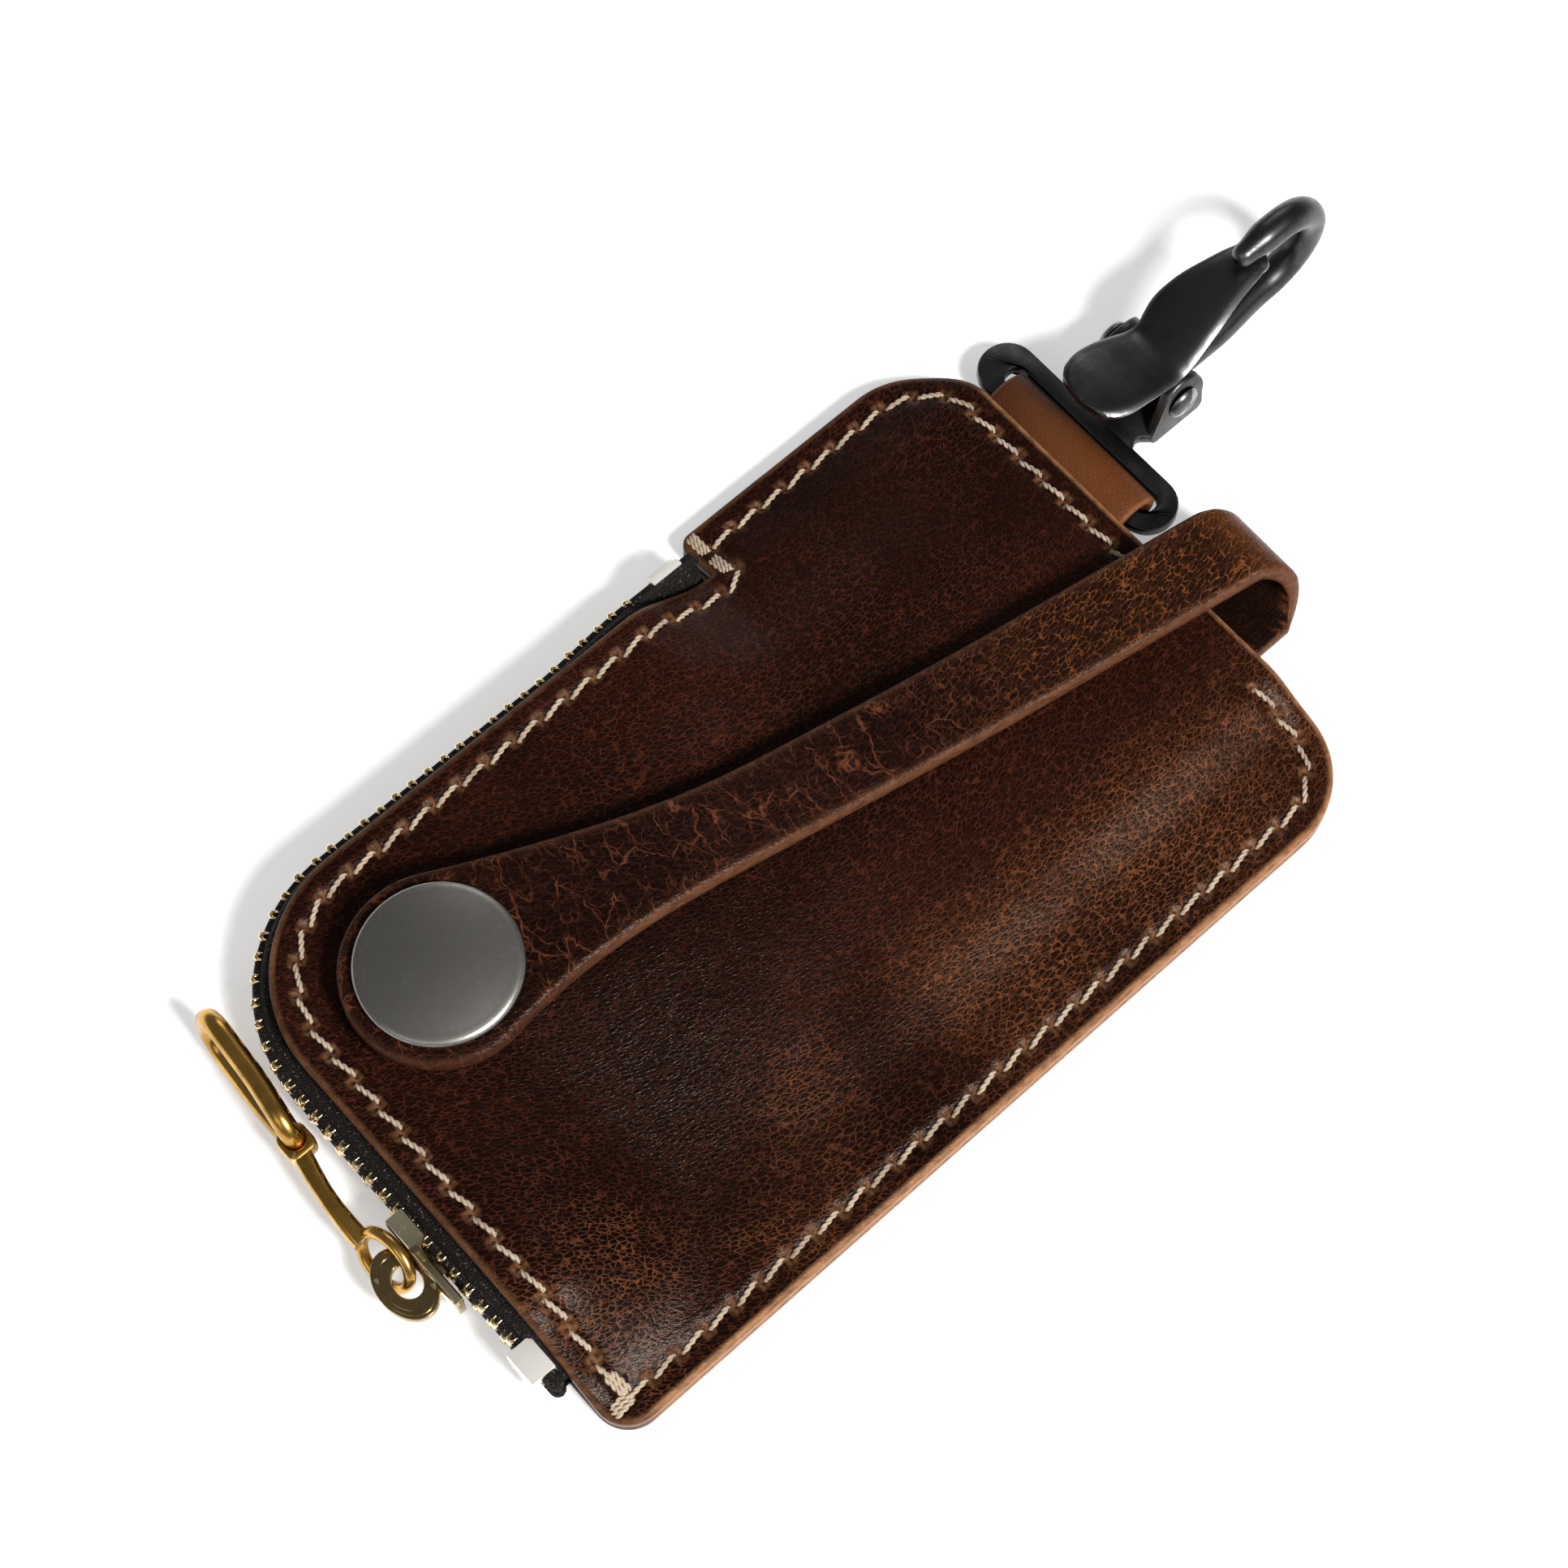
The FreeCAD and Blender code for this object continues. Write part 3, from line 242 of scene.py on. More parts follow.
def make_grain_group() -> bpy.types.NodeTree:
    """Leather grain: a net of fine creases between drawn-out cells, soft patches and long cracks.

    Returns:
        Group with inputs Vector, Cell and Stretch, and outputs Lines, Height, Patches and Cracks.
    """
    inputs = {"Vector": VECTOR, "Cell": VALUE, "Stretch": VALUE}
    n, given, out = new_group("leather_grain", inputs, ("Lines", "Height", "Patches", "Cracks"))
    place = given["Vector"]
    drift = n.vector("SUBTRACT", n.noise(place, 18.0, 1.0, output="Color"), HALF)
    shake = n.vector("SUBTRACT", n.noise(place, 1700.0, 2.0, output="Color"), HALF)
    moved = n.vector("ADD", place, n.vector("SCALE", drift, 0.009))
    moved = n.vector("ADD", moved, n.vector("SCALE", shake, 0.0003))
    x, y, z = n.parts(moved)
    sweep = n.times(x, n.minus(n.times(x, 3.6), 0.1))
    turned = n.joined(x, n.minus(y, sweep), z)
    drawn = n.vector("MULTIPLY", turned, n.joined(given["Stretch"], 1.0, 1.0))
    coarse, fine = (n.cell_edge(drawn, n.times(given["Cell"], share)) for share in (1.0, 1.9))
    soft = n.ramp(n.noise(place, 30.0, 3.0, 0.5), 0.3, 0.72)
    broken = n.ramp(n.noise(place, 1100.0, 2.0), 0.34, 0.62, 0.35, 1.0)
    bold = n.times(n.ramp(coarse, 0.0, 0.13, 1.0, 0.0), broken)
    weak = n.times(n.ramp(fine, 0.0, 0.13, 1.0, 0.0), n.times(soft, 0.4))
    domes = n.times(n.ramp(coarse, 0.0, 0.34), 0.65)
    small = n.times(n.ramp(fine, 0.0, 0.3), 0.35)
    swirl = n.vector("SCALE", n.noise(place, 210.0, 3.0, 0.6, "Color"), 0.005)
    flow = n.vector("MULTIPLY", n.vector("ADD", place, swirl), (1.0, 0.4, 0.4))
    long, short = (
        n.ramp(n.cell_edge(flow, scale), 0.0, width, 1.0, 0.0)
        for scale, width in ((330.0, 0.03), (720.0, 0.045))
    )
    some = n.ramp(n.noise(place, 420.0), 0.36, 0.62)
    n.put(out["Lines"], n.math("MAXIMUM", bold, weak, True))
    n.put(out["Height"], n.plus(domes, small))
    n.put(out["Patches"], soft)
    n.put(out["Cracks"], n.times(n.math("MAXIMUM", long, n.times(short, 0.5)), some))
    return n.tree


def make_wear_group() -> bpy.types.NodeTree:
    """Wear: fine scratches, smudges and grime, as masks.

    Returns:
        Group with inputs Vector and Size, and outputs Scratches, Smudges and Specks.
    """
    inputs = {"Vector": VECTOR, "Size": VALUE}
    n, given, out = new_group("metal_wear", inputs, ("Scratches", "Smudges", "Specks"))
    sized = n.vector("SCALE", given["Vector"], given["Size"])
    scratches = []
    for angle in (25, 118):
        inputs = {"Vector": sized, "Angle": math.radians(angle)}
        turned = n.add("ShaderNodeVectorRotate", inputs, rotation_type="Z_AXIS").outputs[0]
        streak = n.noise(n.vector("MULTIPLY", turned, (1.0, 14.0, 6.0)), 420.0, 2.0)
        scratches.append(n.ramp(streak, 0.66, 0.74))
    n.put(out["Scratches"], n.math("MAXIMUM", *scratches))
    n.put(out["Smudges"], n.ramp(n.noise(sized, 330.0, 4.0, 0.6), 0.35, 0.7))
    n.put(out["Specks"], n.ramp(n.noise(sized, 2600.0, 2.0), 0.62, 0.74))
    return n.tree


GRAIN = make_grain_group()
WEAR = make_wear_group()


def use_group(n: Nodes, group: bpy.types.NodeTree, **inputs) -> Sockets:
    """Places a shader group in a material, sets its inputs by name and gives back its outputs."""
    return n.add("ShaderNodeGroup", inputs, node_tree=group).outputs


def new_material(name: str) -> tuple[Material, Nodes, bpy.types.Node, Socket]:
    """Material with its principled shader and object coordinates.

    Args:
        name: Name of the material.

    Returns:
        Material, its nodes, the principled node and the coordinates socket.
    """
    material = bpy.data.materials.new(name)
    material.use_nodes = True
    n = Nodes(material.node_tree)
    shader = material.node_tree.nodes["Principled BSDF"]
    return material, n, shader, n.add("ShaderNodeTexCoord").outputs["Object"]


def bumped(n: Nodes, shader: bpy.types.Node, height: Socket, strength: float, distance: float) -> None:
    """Joins a height of 0 to 1 to the shader's normal, over a distance in metres."""
    bump = n.add("ShaderNodeBump", {"Strength": strength, "Distance": distance, "Height": height})
    n.put(shader.inputs["Normal"], bump.outputs[0])


EDGE = "edge"
PAINTED_SHADE = "painted_shade"


@dataclass(frozen=True)
class LeatherFinish:
    """Waxed leather: dark body, tan crease net, a painted highlight band, burnished tan edge and painted
    shade.

    Attributes:
        name: Name of the material.
        dark: Colour between the creases.
        body: Colour of the cells in worn patches.
        crease: Colour of the creases: the leather's own tan, made lighter in part as painted glints on the
            grain.
        rim: Colour of the burnished edge.
        pale: Colour of the creases in the band of painted highlight, and of cracks.
        glow: Colour of the worn creases, and of the bend at the hook end, where it is wear and a painted
            highlight together.
        worn_from: Places along the case between which the creases turn to the glow.
        bend_from: Places along the case between which the cells turn to the glow, as wear and a painted
            highlight on the bend.
        highlight_band: Middle and half width of the band across the case where the creases are painted pale,
            a painted highlight.
        cracks: How much the long cracks show.
        cell: Grain cells to the metre.
        stretch: How much the cells are drawn out, 1 for none.
        bump: Height of the grain in metres.
        gloss: Roughness of the waxed body.
        shine: Strength of the wax's reflection.
    """

    name: str
    dark: Colour
    body: Colour
    crease: Colour
    rim: Colour
    pale: Colour = rgb(134, 86, 54)
    glow: Colour = rgb(92, 48, 26)
    worn_from: tuple[float, float] = (0.2, 0.3)
    bend_from: tuple[float, float] = (0.2, 0.3)
    highlight_band: tuple[float, float] = (1.0, 0.01)
    cracks: float = 0.0
    cell: float = 2100.0
    stretch: float = 0.55
    bump: float = 0.00003
    gloss: float = 0.24
    shine: float = 0.08

    def build(self) -> Material:
        """Builds the material.

        Returns:
            The material.
        """
        material, n, shader, place = new_material(self.name)
        grain = use_group(n, GRAIN, Vector=place, Cell=self.cell, Stretch=self.stretch)
        edge, painted_shade = (
            n.add("ShaderNodeAttribute", attribute_name=label).outputs["Fac"] for label in (EDGE, PAINTED_SHADE)
        )
        cloud = n.ramp(n.noise(place, 45.0), 0.3, 0.66)
        x, y, _ = n.parts(place)
        worn = n.ramp(x, *self.worn_from)
        strength = n.plus(n.ramp(cloud, 0.0, 1.0, 0.4, 0.95), n.times(worn, 0.1))
        thin = n.math("POWER", grain["Lines"], n.plus(1.0, n.times(worn, 0.9)))
        base = n.mix(grain["Patches"], self.dark, self.body)
        # Wear and a painted highlight together: over the strap's bend the cells turn to the warm glow colour.
        base = n.mix(n.times(n.ramp(x, *self.bend_from), 0.7), base, self.glow)
        # Painted highlight: in a band across the case the creases turn pale, standing in for glints where the
        # panel slopes towards the key light.
        aside = n.math("ABSOLUTE", n.minus(y, self.highlight_band[0]))
        band = n.ramp(aside, 0.3 * self.highlight_band[1], self.highlight_band[1], 1.0, 0.0)
        painted_highlight = n.times(band, n.ramp(cloud, 0.0, 1.0, 0.3, 1.0))
        crease = n.mix(worn, n.mix(painted_highlight, self.crease, self.pale), self.glow)
        # The crease net is partly the leather's own tan creases and partly painted glints on the grain.
        creased = n.mix(n.times(thin, strength, True), base, crease)
        cracks = n.times(grain["Cracks"], n.minus(self.cracks, worn, True))
        creased = n.mix(cracks, creased, self.pale)
        layers = n.noise(n.vector("MULTIPLY", place, (1.0, 1.0, 3.0)), 700.0, 4.0, 0.65)
        rim = n.mix(n.ramp(layers, 0.3, 0.66, 0.45, 1.0), self.body, self.rim)
        # Painted shade: at the needle holes and under the strap, the colour turns towards the dark one by
        # each point's shade value.
        shaded = n.mix(n.times(painted_shade, 0.85), n.mix(edge, creased, rim), self.dark)
        rough = n.plus(n.plus(n.times(cloud, 0.08), self.gloss), n.times(edge, 0.06))
        n.fill(shader, {"Base Color": shaded, "Roughness": rough})
        n.fill(shader, {"Specular IOR Level": self.shine, "Specular Tint": (1.0, 0.85, 0.72, 1.0)})
        fibre = n.noise(place, 3800.0, 2.0)
        bumped(n, shader, n.plus(grain["Height"], n.times(fibre, 0.18)), 0.85, self.bump)
        return material


@dataclass(frozen=True)
class MetalFinish:
    """Plated metal with smudges, fine scratches and specks.

    Attributes:
        name: Name of the material.
        colour: Colour of the metal.
        dull: Colour of its smudges.
        bright: Colour of worn edges and scratches.
        rough: Roughness of the clean metal.
        smudge: How much the smudges show.
        wear: How much the worn edges show.
        scratch: How much the scratches show.
        metallic: Share of metal reflection.
        size: Size of the wear, above 1 for finer.
        speck: How much the specks show.
    """

    name: str
    colour: Colour
    dull: Colour
    bright: Colour
    rough: float
    smudge: float = 0.5
    wear: float = 0.5
    scratch: float = 0.05
    metallic: float = 1.0
    size: float = 1.0
    speck: float = 0.25

    def build(self) -> Material:
        """Builds the material.

        Returns:
            The material.
        """
        material, n, shader, place = new_material(self.name)
        wear = use_group(n, WEAR, Vector=place, Size=self.size)
        scratches, specks = wear["Scratches"], wear["Specks"]
        smudges = n.times(wear["Smudges"], self.smudge)
        base = n.mix(n.times(specks, self.speck), n.mix(smudges, self.colour, self.dull), self.dull)
        point = n.add("ShaderNodeNewGeometry").outputs["Pointiness"]
        ridge = n.times(n.ramp(point, 0.53, 0.62), self.wear)
        worn = n.math("MAXIMUM", ridge, n.times(scratches, self.scratch))
        rough = n.plus(n.plus(n.times(smudges, 0.16), self.rough), n.times(specks, 0.1))
        colour = n.mix(worn, base, self.bright)
        n.fill(shader, {"Base Color": colour, "Metallic": self.metallic, "Roughness": rough})
        bumped(n, shader, n.plus(specks, scratches), 0.12, 0.00003)
        return material


@dataclass(frozen=True)
class ThreadFinish:
    """Waxed thread: pale plies with painted shade in the gaps between them, and soiled ends.

    Attributes:
        name: Name of the material.
        pale: Colour of the thread.
        dirt_and_shade: Colour of its soiled places, and of the painted shade in its gaps.
    """

    name: str
    pale: Colour
    dirt_and_shade: Colour

    def build(self) -> Material:
        """Builds the material.

        Returns:
            The material.
        """
        material, n, shader, place = new_material(self.name)
        fibre = n.noise(place, 5200.0)
        dirt = n.ramp(n.noise(place, 260.0), 0.42, 0.72)
        # Painted shade between the plies, where the surface curves inwards.
        ply_shade = n.ramp(n.add("ShaderNodeNewGeometry").outputs["Pointiness"], 0.44, 0.55, 1.0, 0.0)
        mask = n.math("MAXIMUM", n.times(dirt, 0.45), ply_shade)
        toned = n.mix(n.ramp(fibre, 0.35, 0.7), self.pale, self.dirt_and_shade)
        colour = n.mix(mask, n.mix(0.3, self.pale, toned), self.dirt_and_shade)
        n.fill(shader, {"Base Color": colour, "Roughness": 0.6, "Sheen Weight": 0.15})
        bumped(n, shader, fibre, 0.5, 0.00008)
        return material


@dataclass(frozen=True)
class TapeFinish:
    """Woven tape: a twill of fine black yarns with dusty high spots.

    Attributes:
        name: Name of the material.
        dark: Colour of the yarns.
        dusty: Colour of their high spots.
        yarn: Yarns to the metre.
    """

    name: str
    dark: Colour
    dusty: Colour
    yarn: float = 4200.0

    def build(self) -> Material:
        """Builds the material.

        Returns:
            The material.
        """
        material, n, shader, place = new_material(self.name)
        _, y, z = n.parts(n.vector("SCALE", place, self.yarn))
        diagonal, rising = n.minus(y, z), n.plus(z, n.times(y, 0.6))
        warp, weft = (
            n.math("ABSOLUTE", n.math("SINE", n.times(run, count)))
            for run, count in ((diagonal, 2.2), (rising, 3.0))
        )
        weave = n.times(warp, weft)
        dust = n.ramp(n.noise(place, 3200.0, 2.0), 0.6, 0.7)
        shown = n.math("ADD", n.times(n.ramp(weave, 0.5, 0.95), 0.1), n.times(dust, 0.7), True)
        colour = n.mix(shown, self.dark, self.dusty)
        n.fill(shader, {"Base Color": colour, "Roughness": 0.75, "Specular IOR Level": 0.15})
        bumped(n, shader, weave, 0.8, 0.00006)
        return material


# Mesh building blocks


@dataclass
class Shape:
    """Mesh under way, in millimetres, with a burnish and a painted shade value for each point."""

    points: list[Point] = field(default_factory=list)
    faces: list[Sequence[int]] = field(default_factory=list)
    edge: list[float] = field(default_factory=list)
    painted_shade: list[float] = field(default_factory=list)

    def add(
        self, points: Rows, faces: Sequence[Sequence[int]], edge: Numbers = 0.0, painted_shade: Numbers = 0.0
    ) -> None:
        """Adds points and the faces between them.

        Args:
            points: Places in millimetres.
            faces: Point numbers of each face, counted from the first of these points.
            edge: Burnish of the points, one number or one for each.
            painted_shade: Painted shade of the points, one number or one for each.
        """
        start = len(self.points)
        count = len(points)
        self.points.extend(tuple(float(v) for v in p) for p in points)
        self.faces.extend([start + int(k) for k in face] for face in faces)
        self.edge.extend(np.broadcast_to(edge, count).tolist())
        self.painted_shade.extend(np.broadcast_to(painted_shade, count).tolist())

    def rings(
        self, rings: Sequence[Rows], caps: bool = True, edge: Numbers = 0.0, painted_shade: Numbers = 0.0
    ) -> None:
        """Joins closed rings of equal count into a skin.

        Args:
            rings: Array of rings of points.
            caps: Whether the first and last ring are filled.
            edge: Burnish, as an array of ring by point or one number.
            painted_shade: Painted shade, as an array of ring by point or one number.
        """
        rings = np.asarray(rings, dtype=float)
        rows, count = rings.shape[:2]
        faces = []
        for row in range(rows - 1):
            for k in range(count):
                after = (k + 1) % count
                low, high = row * count, (row + 1) * count
                faces.append((low + k, low + after, high + after, high + k))
        if caps:
            faces.append(tuple(range(count))[::-1])
            faces.append(tuple((rows - 1) * count + k for k in range(count)))
        shape = (rows, count)
        self.add(
            rings.reshape(-1, 3), faces,
            np.broadcast_to(edge, shape).reshape(-1), np.broadcast_to(painted_shade, shape).reshape(-1),
        )

    def tube(self, path: Rows, radius: Numbers, sides: int, closed: bool = False) -> None:
        """Round bar along a path, with rounded ends where it is open.

        Args:
            path: Points along the middle.
            radius: Radius, one number or one for each point.
            sides: Points round the bar.
            closed: Whether the path closes on itself.
        """
        path = np.asarray(path, dtype=float)
        radii = np.broadcast_to(np.asarray(radius, dtype=float), len(path)).copy()
        if not closed:
            start_way = (path[0] - path[1]) / np.linalg.norm(path[0] - path[1])
            end_way = (path[-1] - path[-2]) / np.linalg.norm(path[-1] - path[-2])
            turns = np.radians([80, 55, 28])
            start = [path[0] + start_way * radii[0] * math.sin(a) for a in turns]
            end = [path[-1] + end_way * radii[-1] * math.sin(a) for a in turns[::-1]]
            radii = np.concatenate([radii[0] * np.cos(turns), radii, radii[-1] * np.cos(turns[::-1])])
            path = np.concatenate([start, path, end])
        count = len(path)
        angles = np.arange(sides) * 2 * math.pi / sides
        rings = []
        side = None
        for k in range(count):
            before = path[k - 1] if closed else path[max(k - 1, 0)]
            after = path[(k + 1) % count] if closed else path[min(k + 1, count - 1)]
            way = Vector(after - before).normalized()
            if side is None:
                side = way.orthogonal().normalized()
            side = (side - way * side.dot(way)).normalized()
            other = way.cross(side)
            rings.append([
                Vector(path[k]) + (side * math.cos(a) + other * math.sin(a)) * radii[k] for a in angles
            ])
        if closed:
            rings.append(rings[0])
        self.rings(rings, caps=not closed)

    def lathe(self, profile: Rows, middle: Point, axis: Vector = Vector((0, 0, 1)), sides: int = 48) -> None:
        """Turned shape.

        Args:
            profile: Radius and height pairs from end to end, closing on the axis or on itself.
            middle: Where height 0 of the axis is.
            axis: Way of the axis.
            sides: Points round the shape.
        """
        turn = Vector((0, 0, 1)).rotation_difference(axis)
        angles = [2 * math.pi * k / sides for k in range(sides)]
        self.rings([
            [turn @ Vector((r * math.cos(a), r * math.sin(a), height)) + Vector(middle) for a in angles]
            for r, height in profile
        ])

    def plate(self, plan: np.ndarray, low: float, high: float, bevel: float, place: Placing) -> None:
        """Flat plate with softened rims.

        Args:
            plan: Points of its outline, anticlockwise.
            low: Height of its underside.
            high: Height of its top.
            bevel: How far the rims are softened.
            place: Gives the points of the frame from those along, across and over the plan.
        """
        slight = bevel * 0.3
        inner, middle = inset_loop(plan, bevel), inset_loop(plan, slight)
        levels = [
            (inner, low), (middle, low + slight), (plan, low + bevel),
            (plan, high - bevel), (middle, high - slight), (inner, high),
        ]
        self.rings([place(*ring.T, level) for ring, level in levels])


def inset_loop(plan: np.ndarray, inset: float) -> np.ndarray:
    """Closed plan loop moved inwards.

    Args:
        plan: Anticlockwise points.
        inset: How far inwards.

    Returns:
        Moved points, as many as given.
    """
    before = plan - np.roll(plan, 1, axis=0)
    after = np.roll(plan, -1, axis=0) - plan
    before = before / np.maximum(np.linalg.norm(before, axis=1, keepdims=True), 1e-9)
    after = after / np.maximum(np.linalg.norm(after, axis=1, keepdims=True), 1e-9)
    normals = columns(-(before + after)[:, 1], (before + after)[:, 0])
    lengths = np.maximum(np.linalg.norm(normals, axis=1, keepdims=True), 1e-6)
    share = np.clip(lengths / 2, 0.45, 1.0)
    return plan + normals / lengths / share * inset


def rounded_loop(corners: Sequence[tuple[float, float, float]], spacing: float = 0.4) -> np.ndarray:
    """Closed plan loop through rounded corners.

    Args:
        corners: Anticlockwise corners as x, y and rounding radius.
        spacing: Distance between points on the arcs.

    Returns:
        Points of the loop.
    """
    loop: list[np.ndarray] = []
    count = len(corners)
    for k, (x, y, radius) in enumerate(corners):
        point = np.array([x, y])
        before = np.array(corners[k - 1][:2]) - point
        after = np.array(corners[(k + 1) % count][:2]) - point
        before = before / np.linalg.norm(before)
        after = after / np.linalg.norm(after)
        half = math.acos(float(np.clip(before @ after, -1, 1))) / 2
        middle = point + (before + after) / np.linalg.norm(before + after) * radius / math.sin(half)
        start = point + before * radius / math.tan(half) - middle
        end = point + after * radius / math.tan(half) - middle
        sweep = math.pi - 2 * half
        steps = max(2, int(radius * sweep / spacing))
        for step in range(steps + 1):
            share = step / steps
            weight = (math.sin((1 - share) * sweep), math.sin(share * sweep))
            loop.append(middle + (start * weight[0] + end * weight[1]) / math.sin(sweep))
    return np.array(loop)


def rounded_box(
    low: Sequence[float], high: Sequence[float], radius: float, spacing: float = 0.4
) -> np.ndarray:
    """Closed plan loop round a box between two corners, with one rounding radius."""
    (x0, y0), (x1, y1) = low, high
    return rounded_loop([(x0, y0, radius), (x1, y0, radius), (x1, y1, radius), (x0, y1, radius)], spacing)


def arc(middle: Sequence[float], radius: float, start: float, end: float, count: int) -> np.ndarray:
    """Points on an arc about a middle, between two angles in degrees."""
    turns = np.radians(np.linspace(start, end, count))
    return columns(middle[0] + radius * np.cos(turns), middle[1] + radius * np.sin(turns))


def run_lengths(path: np.ndarray) -> np.ndarray:
    """Distance of each point of a path from its start."""
    return np.concatenate([[0], np.cumsum(np.linalg.norm(np.diff(path, axis=0), axis=1))])


def sideways(path: np.ndarray) -> np.ndarray:
    """Unit ways to the left of a plane path, one for each point.

    Args:
        path: Points of the path.

    Returns:
        The ways.
    """
    way = np.gradient(path, axis=0)
    way = way / np.linalg.norm(way, axis=1, keepdims=True)
    return columns(-way[:, 1], way[:, 0])


def plain_mesh(shape: Shape, name: str, merge: bool = False) -> bpy.types.Mesh:
    """Smooth mesh of a shape in metres, facing outwards.

    Args:
        shape: Points and faces in millimetres.
        name: Name of the mesh.
        merge: Whether points in one place are joined.

    Returns:
        The mesh.
    """
    mesh = bpy.data.meshes.new(name)
    mesh.from_pydata([(x * MM, y * MM, z * MM) for x, y, z in shape.points], [], shape.faces)
    for label, values in ((EDGE, shape.edge), (PAINTED_SHADE, shape.painted_shade)):
        if any(values):
            layer = mesh.attributes.new(label, "FLOAT", "POINT")
            layer.data.foreach_set("value", values)
    work = bmesh.new()
    work.from_mesh(mesh)
    if merge:
        bmesh.ops.remove_doubles(work, verts=work.verts, dist=1e-7)
    bmesh.ops.recalc_face_normals(work, faces=work.faces)
    work.to_mesh(mesh)
    work.free()
    mesh.shade_smooth()
    return mesh


def linked(name: str, data: bpy.types.ID) -> bpy.types.Object:
    """Adds an object to the scene.

    Args:
        name: Its name.
        data: Its mesh, lamp or camera.

    Returns:
        The object.
    """
    made = bpy.data.objects.new(name, data)
    bpy.context.scene.collection.objects.link(made)
    return made


def settle(made: bpy.types.Object, body: Body | None, slot: Slot, nodes: Sequence[str] = ()) -> None:
    """Gives a finished piece its body and hides the solids that it stands for.

    Args:
        made: The piece.
        body: Body that it rides on, or none.
        slot: Material slot of the record; not used.
        nodes: Solids of the frame that it stands for.
    """
    if body:
        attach(made, body.value)
    if nodes:
        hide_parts(*nodes)
    LOG.info("%s: %d faces", made.name, len(made.data.polygons))


def finish_piece(
    shape: Shape, name: str, material: Material, body: Body | None, slot: Slot,
    nodes: Sequence[str], split: float = 40.0,
) -> bpy.types.Object:
    """Turns a shape into a dressed piece of the object.

    Args:
        shape: Points and faces in millimetres.
        name: Name of the piece.
        material: Its finish.
        body: Body that it rides on, or none.
        slot: Material slot of the record.
        nodes: Solids of the frame that it stands for.
        split: Angle in degrees over which an edge stays sharp.

    Returns:
        The object.
    """
    mesh = plain_mesh(shape, name, True)
    mesh.set_sharp_from_angle(angle=math.radians(split))
    mesh.materials.append(material)
    made = linked(name, mesh)
    settle(made, body, slot, nodes)
    return made


# Repeats


class Repeat:
    """Geometry nodes that set one small shape on many placed points."""

    def __init__(self) -> None:
        """Builds the tree, with a random turn of each copy and one finish for all."""
        self.tree = bpy.data.node_groups.new("set_on_points", "GeometryNodeTree")
        kinds = {
            "Geometry": "NodeSocketGeometry", "Shape": "NodeSocketObject", "Finish": "NodeSocketMaterial",
            "Unevenness": VALUE, "Seed": "NodeSocketInt",
        }
        face = self.tree.interface
        self.sockets = {
            label: face.new_socket(label, in_out="INPUT", socket_type=kind).identifier
            for label, kind in kinds.items()
        }
        face.new_socket("Geometry", in_out="OUTPUT", socket_type=kinds["Geometry"])
        n = Nodes(self.tree)
        given = n.add("NodeGroupInput").outputs
        shape = n.add("GeometryNodeObjectInfo", {"Object": given["Shape"]}).outputs["Geometry"]
        turn = n.add("GeometryNodeInputNamedAttribute", {"Name": "turn"}, data_type="FLOAT_VECTOR")
        limits = {"Min": (-1, -1, -1), "Max": (1, 1, 1), "Seed": given["Seed"]}
        random = n.add("FunctionNodeRandomValue", limits, data_type="FLOAT_VECTOR").outputs["Value"]
        jitter = n.vector("SCALE", random, given["Unevenness"])
        total = n.vector("ADD", turn.outputs["Attribute"], jitter)
        inputs = {"Points": given["Geometry"], "Instance": shape, "Rotation": total}
        placed = n.add("GeometryNodeInstanceOnPoints", inputs).outputs[0]
        real = n.add("GeometryNodeRealizeInstances", {0: placed}).outputs[0]
        dressed = n.add("GeometryNodeSetMaterial", {"Geometry": real, "Material": given["Finish"]})
        n.add("NodeGroupOutput", {0: dressed.outputs[0]})

    def build(
        self, name: str, shape: Shape, places: Sequence[tuple[Point, Vector, Vector]],
        material: Material, uneven: float, extra: Shape | None = None,
    ) -> bpy.types.Object:
        """Sets the shape on each place and gives back one plain mesh.

        Args:
            name: Name of the piece.
            shape: Shape about the origin, along X with its top towards Z.
            places: Place, way and upward way of each one.
            material: Finish.
            uneven: Random turn of each one in radians.
            extra: Other parts of the same piece, already in place.

        Returns:
            The piece's object, not yet settled on a body.
        """
        unit = bpy.data.objects.new(name + "_one", plain_mesh(shape, name + "_one"))
        points = bpy.data.meshes.new(name + "_places")
        points.from_pydata([tuple(v * MM for v in place) for place, way, up in places], [], [])
        turns = points.attributes.new("turn", "FLOAT_VECTOR", "POINT")
        for k, (_, way, up) in enumerate(places):
            side = up.cross(way).normalized()
            top = way.cross(side).normalized()
            turns.data[k].vector = Matrix((way.normalized(), side, top)).transposed().to_euler("XYZ")
        work = linked(name + "_work", points)
        modifier = work.modifiers.new("repeat", "NODES")
        modifier.node_group = self.tree
        values = {"Shape": unit, "Finish": material, "Unevenness": uneven, "Seed": len(places)}
        for label, value in values.items():
            modifier[self.sockets[label]] = value
        evaluated = work.evaluated_get(bpy.context.evaluated_depsgraph_get())
        mesh = bpy.data.meshes.new_from_object(evaluated)
        mesh.name = name
        work.modifiers.remove(modifier)
        bpy.data.objects.remove(work)
        bpy.data.objects.remove(unit)
        if extra:
            joined = bmesh.new()
            joined.from_mesh(mesh)
            joined.from_mesh(plain_mesh(extra, name + "_extra"))
            joined.to_mesh(mesh)
            joined.free()
        mesh.materials.clear()
        mesh.materials.append(material)
        mesh.polygons.foreach_set("material_index", [0] * len(mesh.polygons))
        mesh.shade_smooth()
        return linked(name, mesh)


# Leather panels and their seam


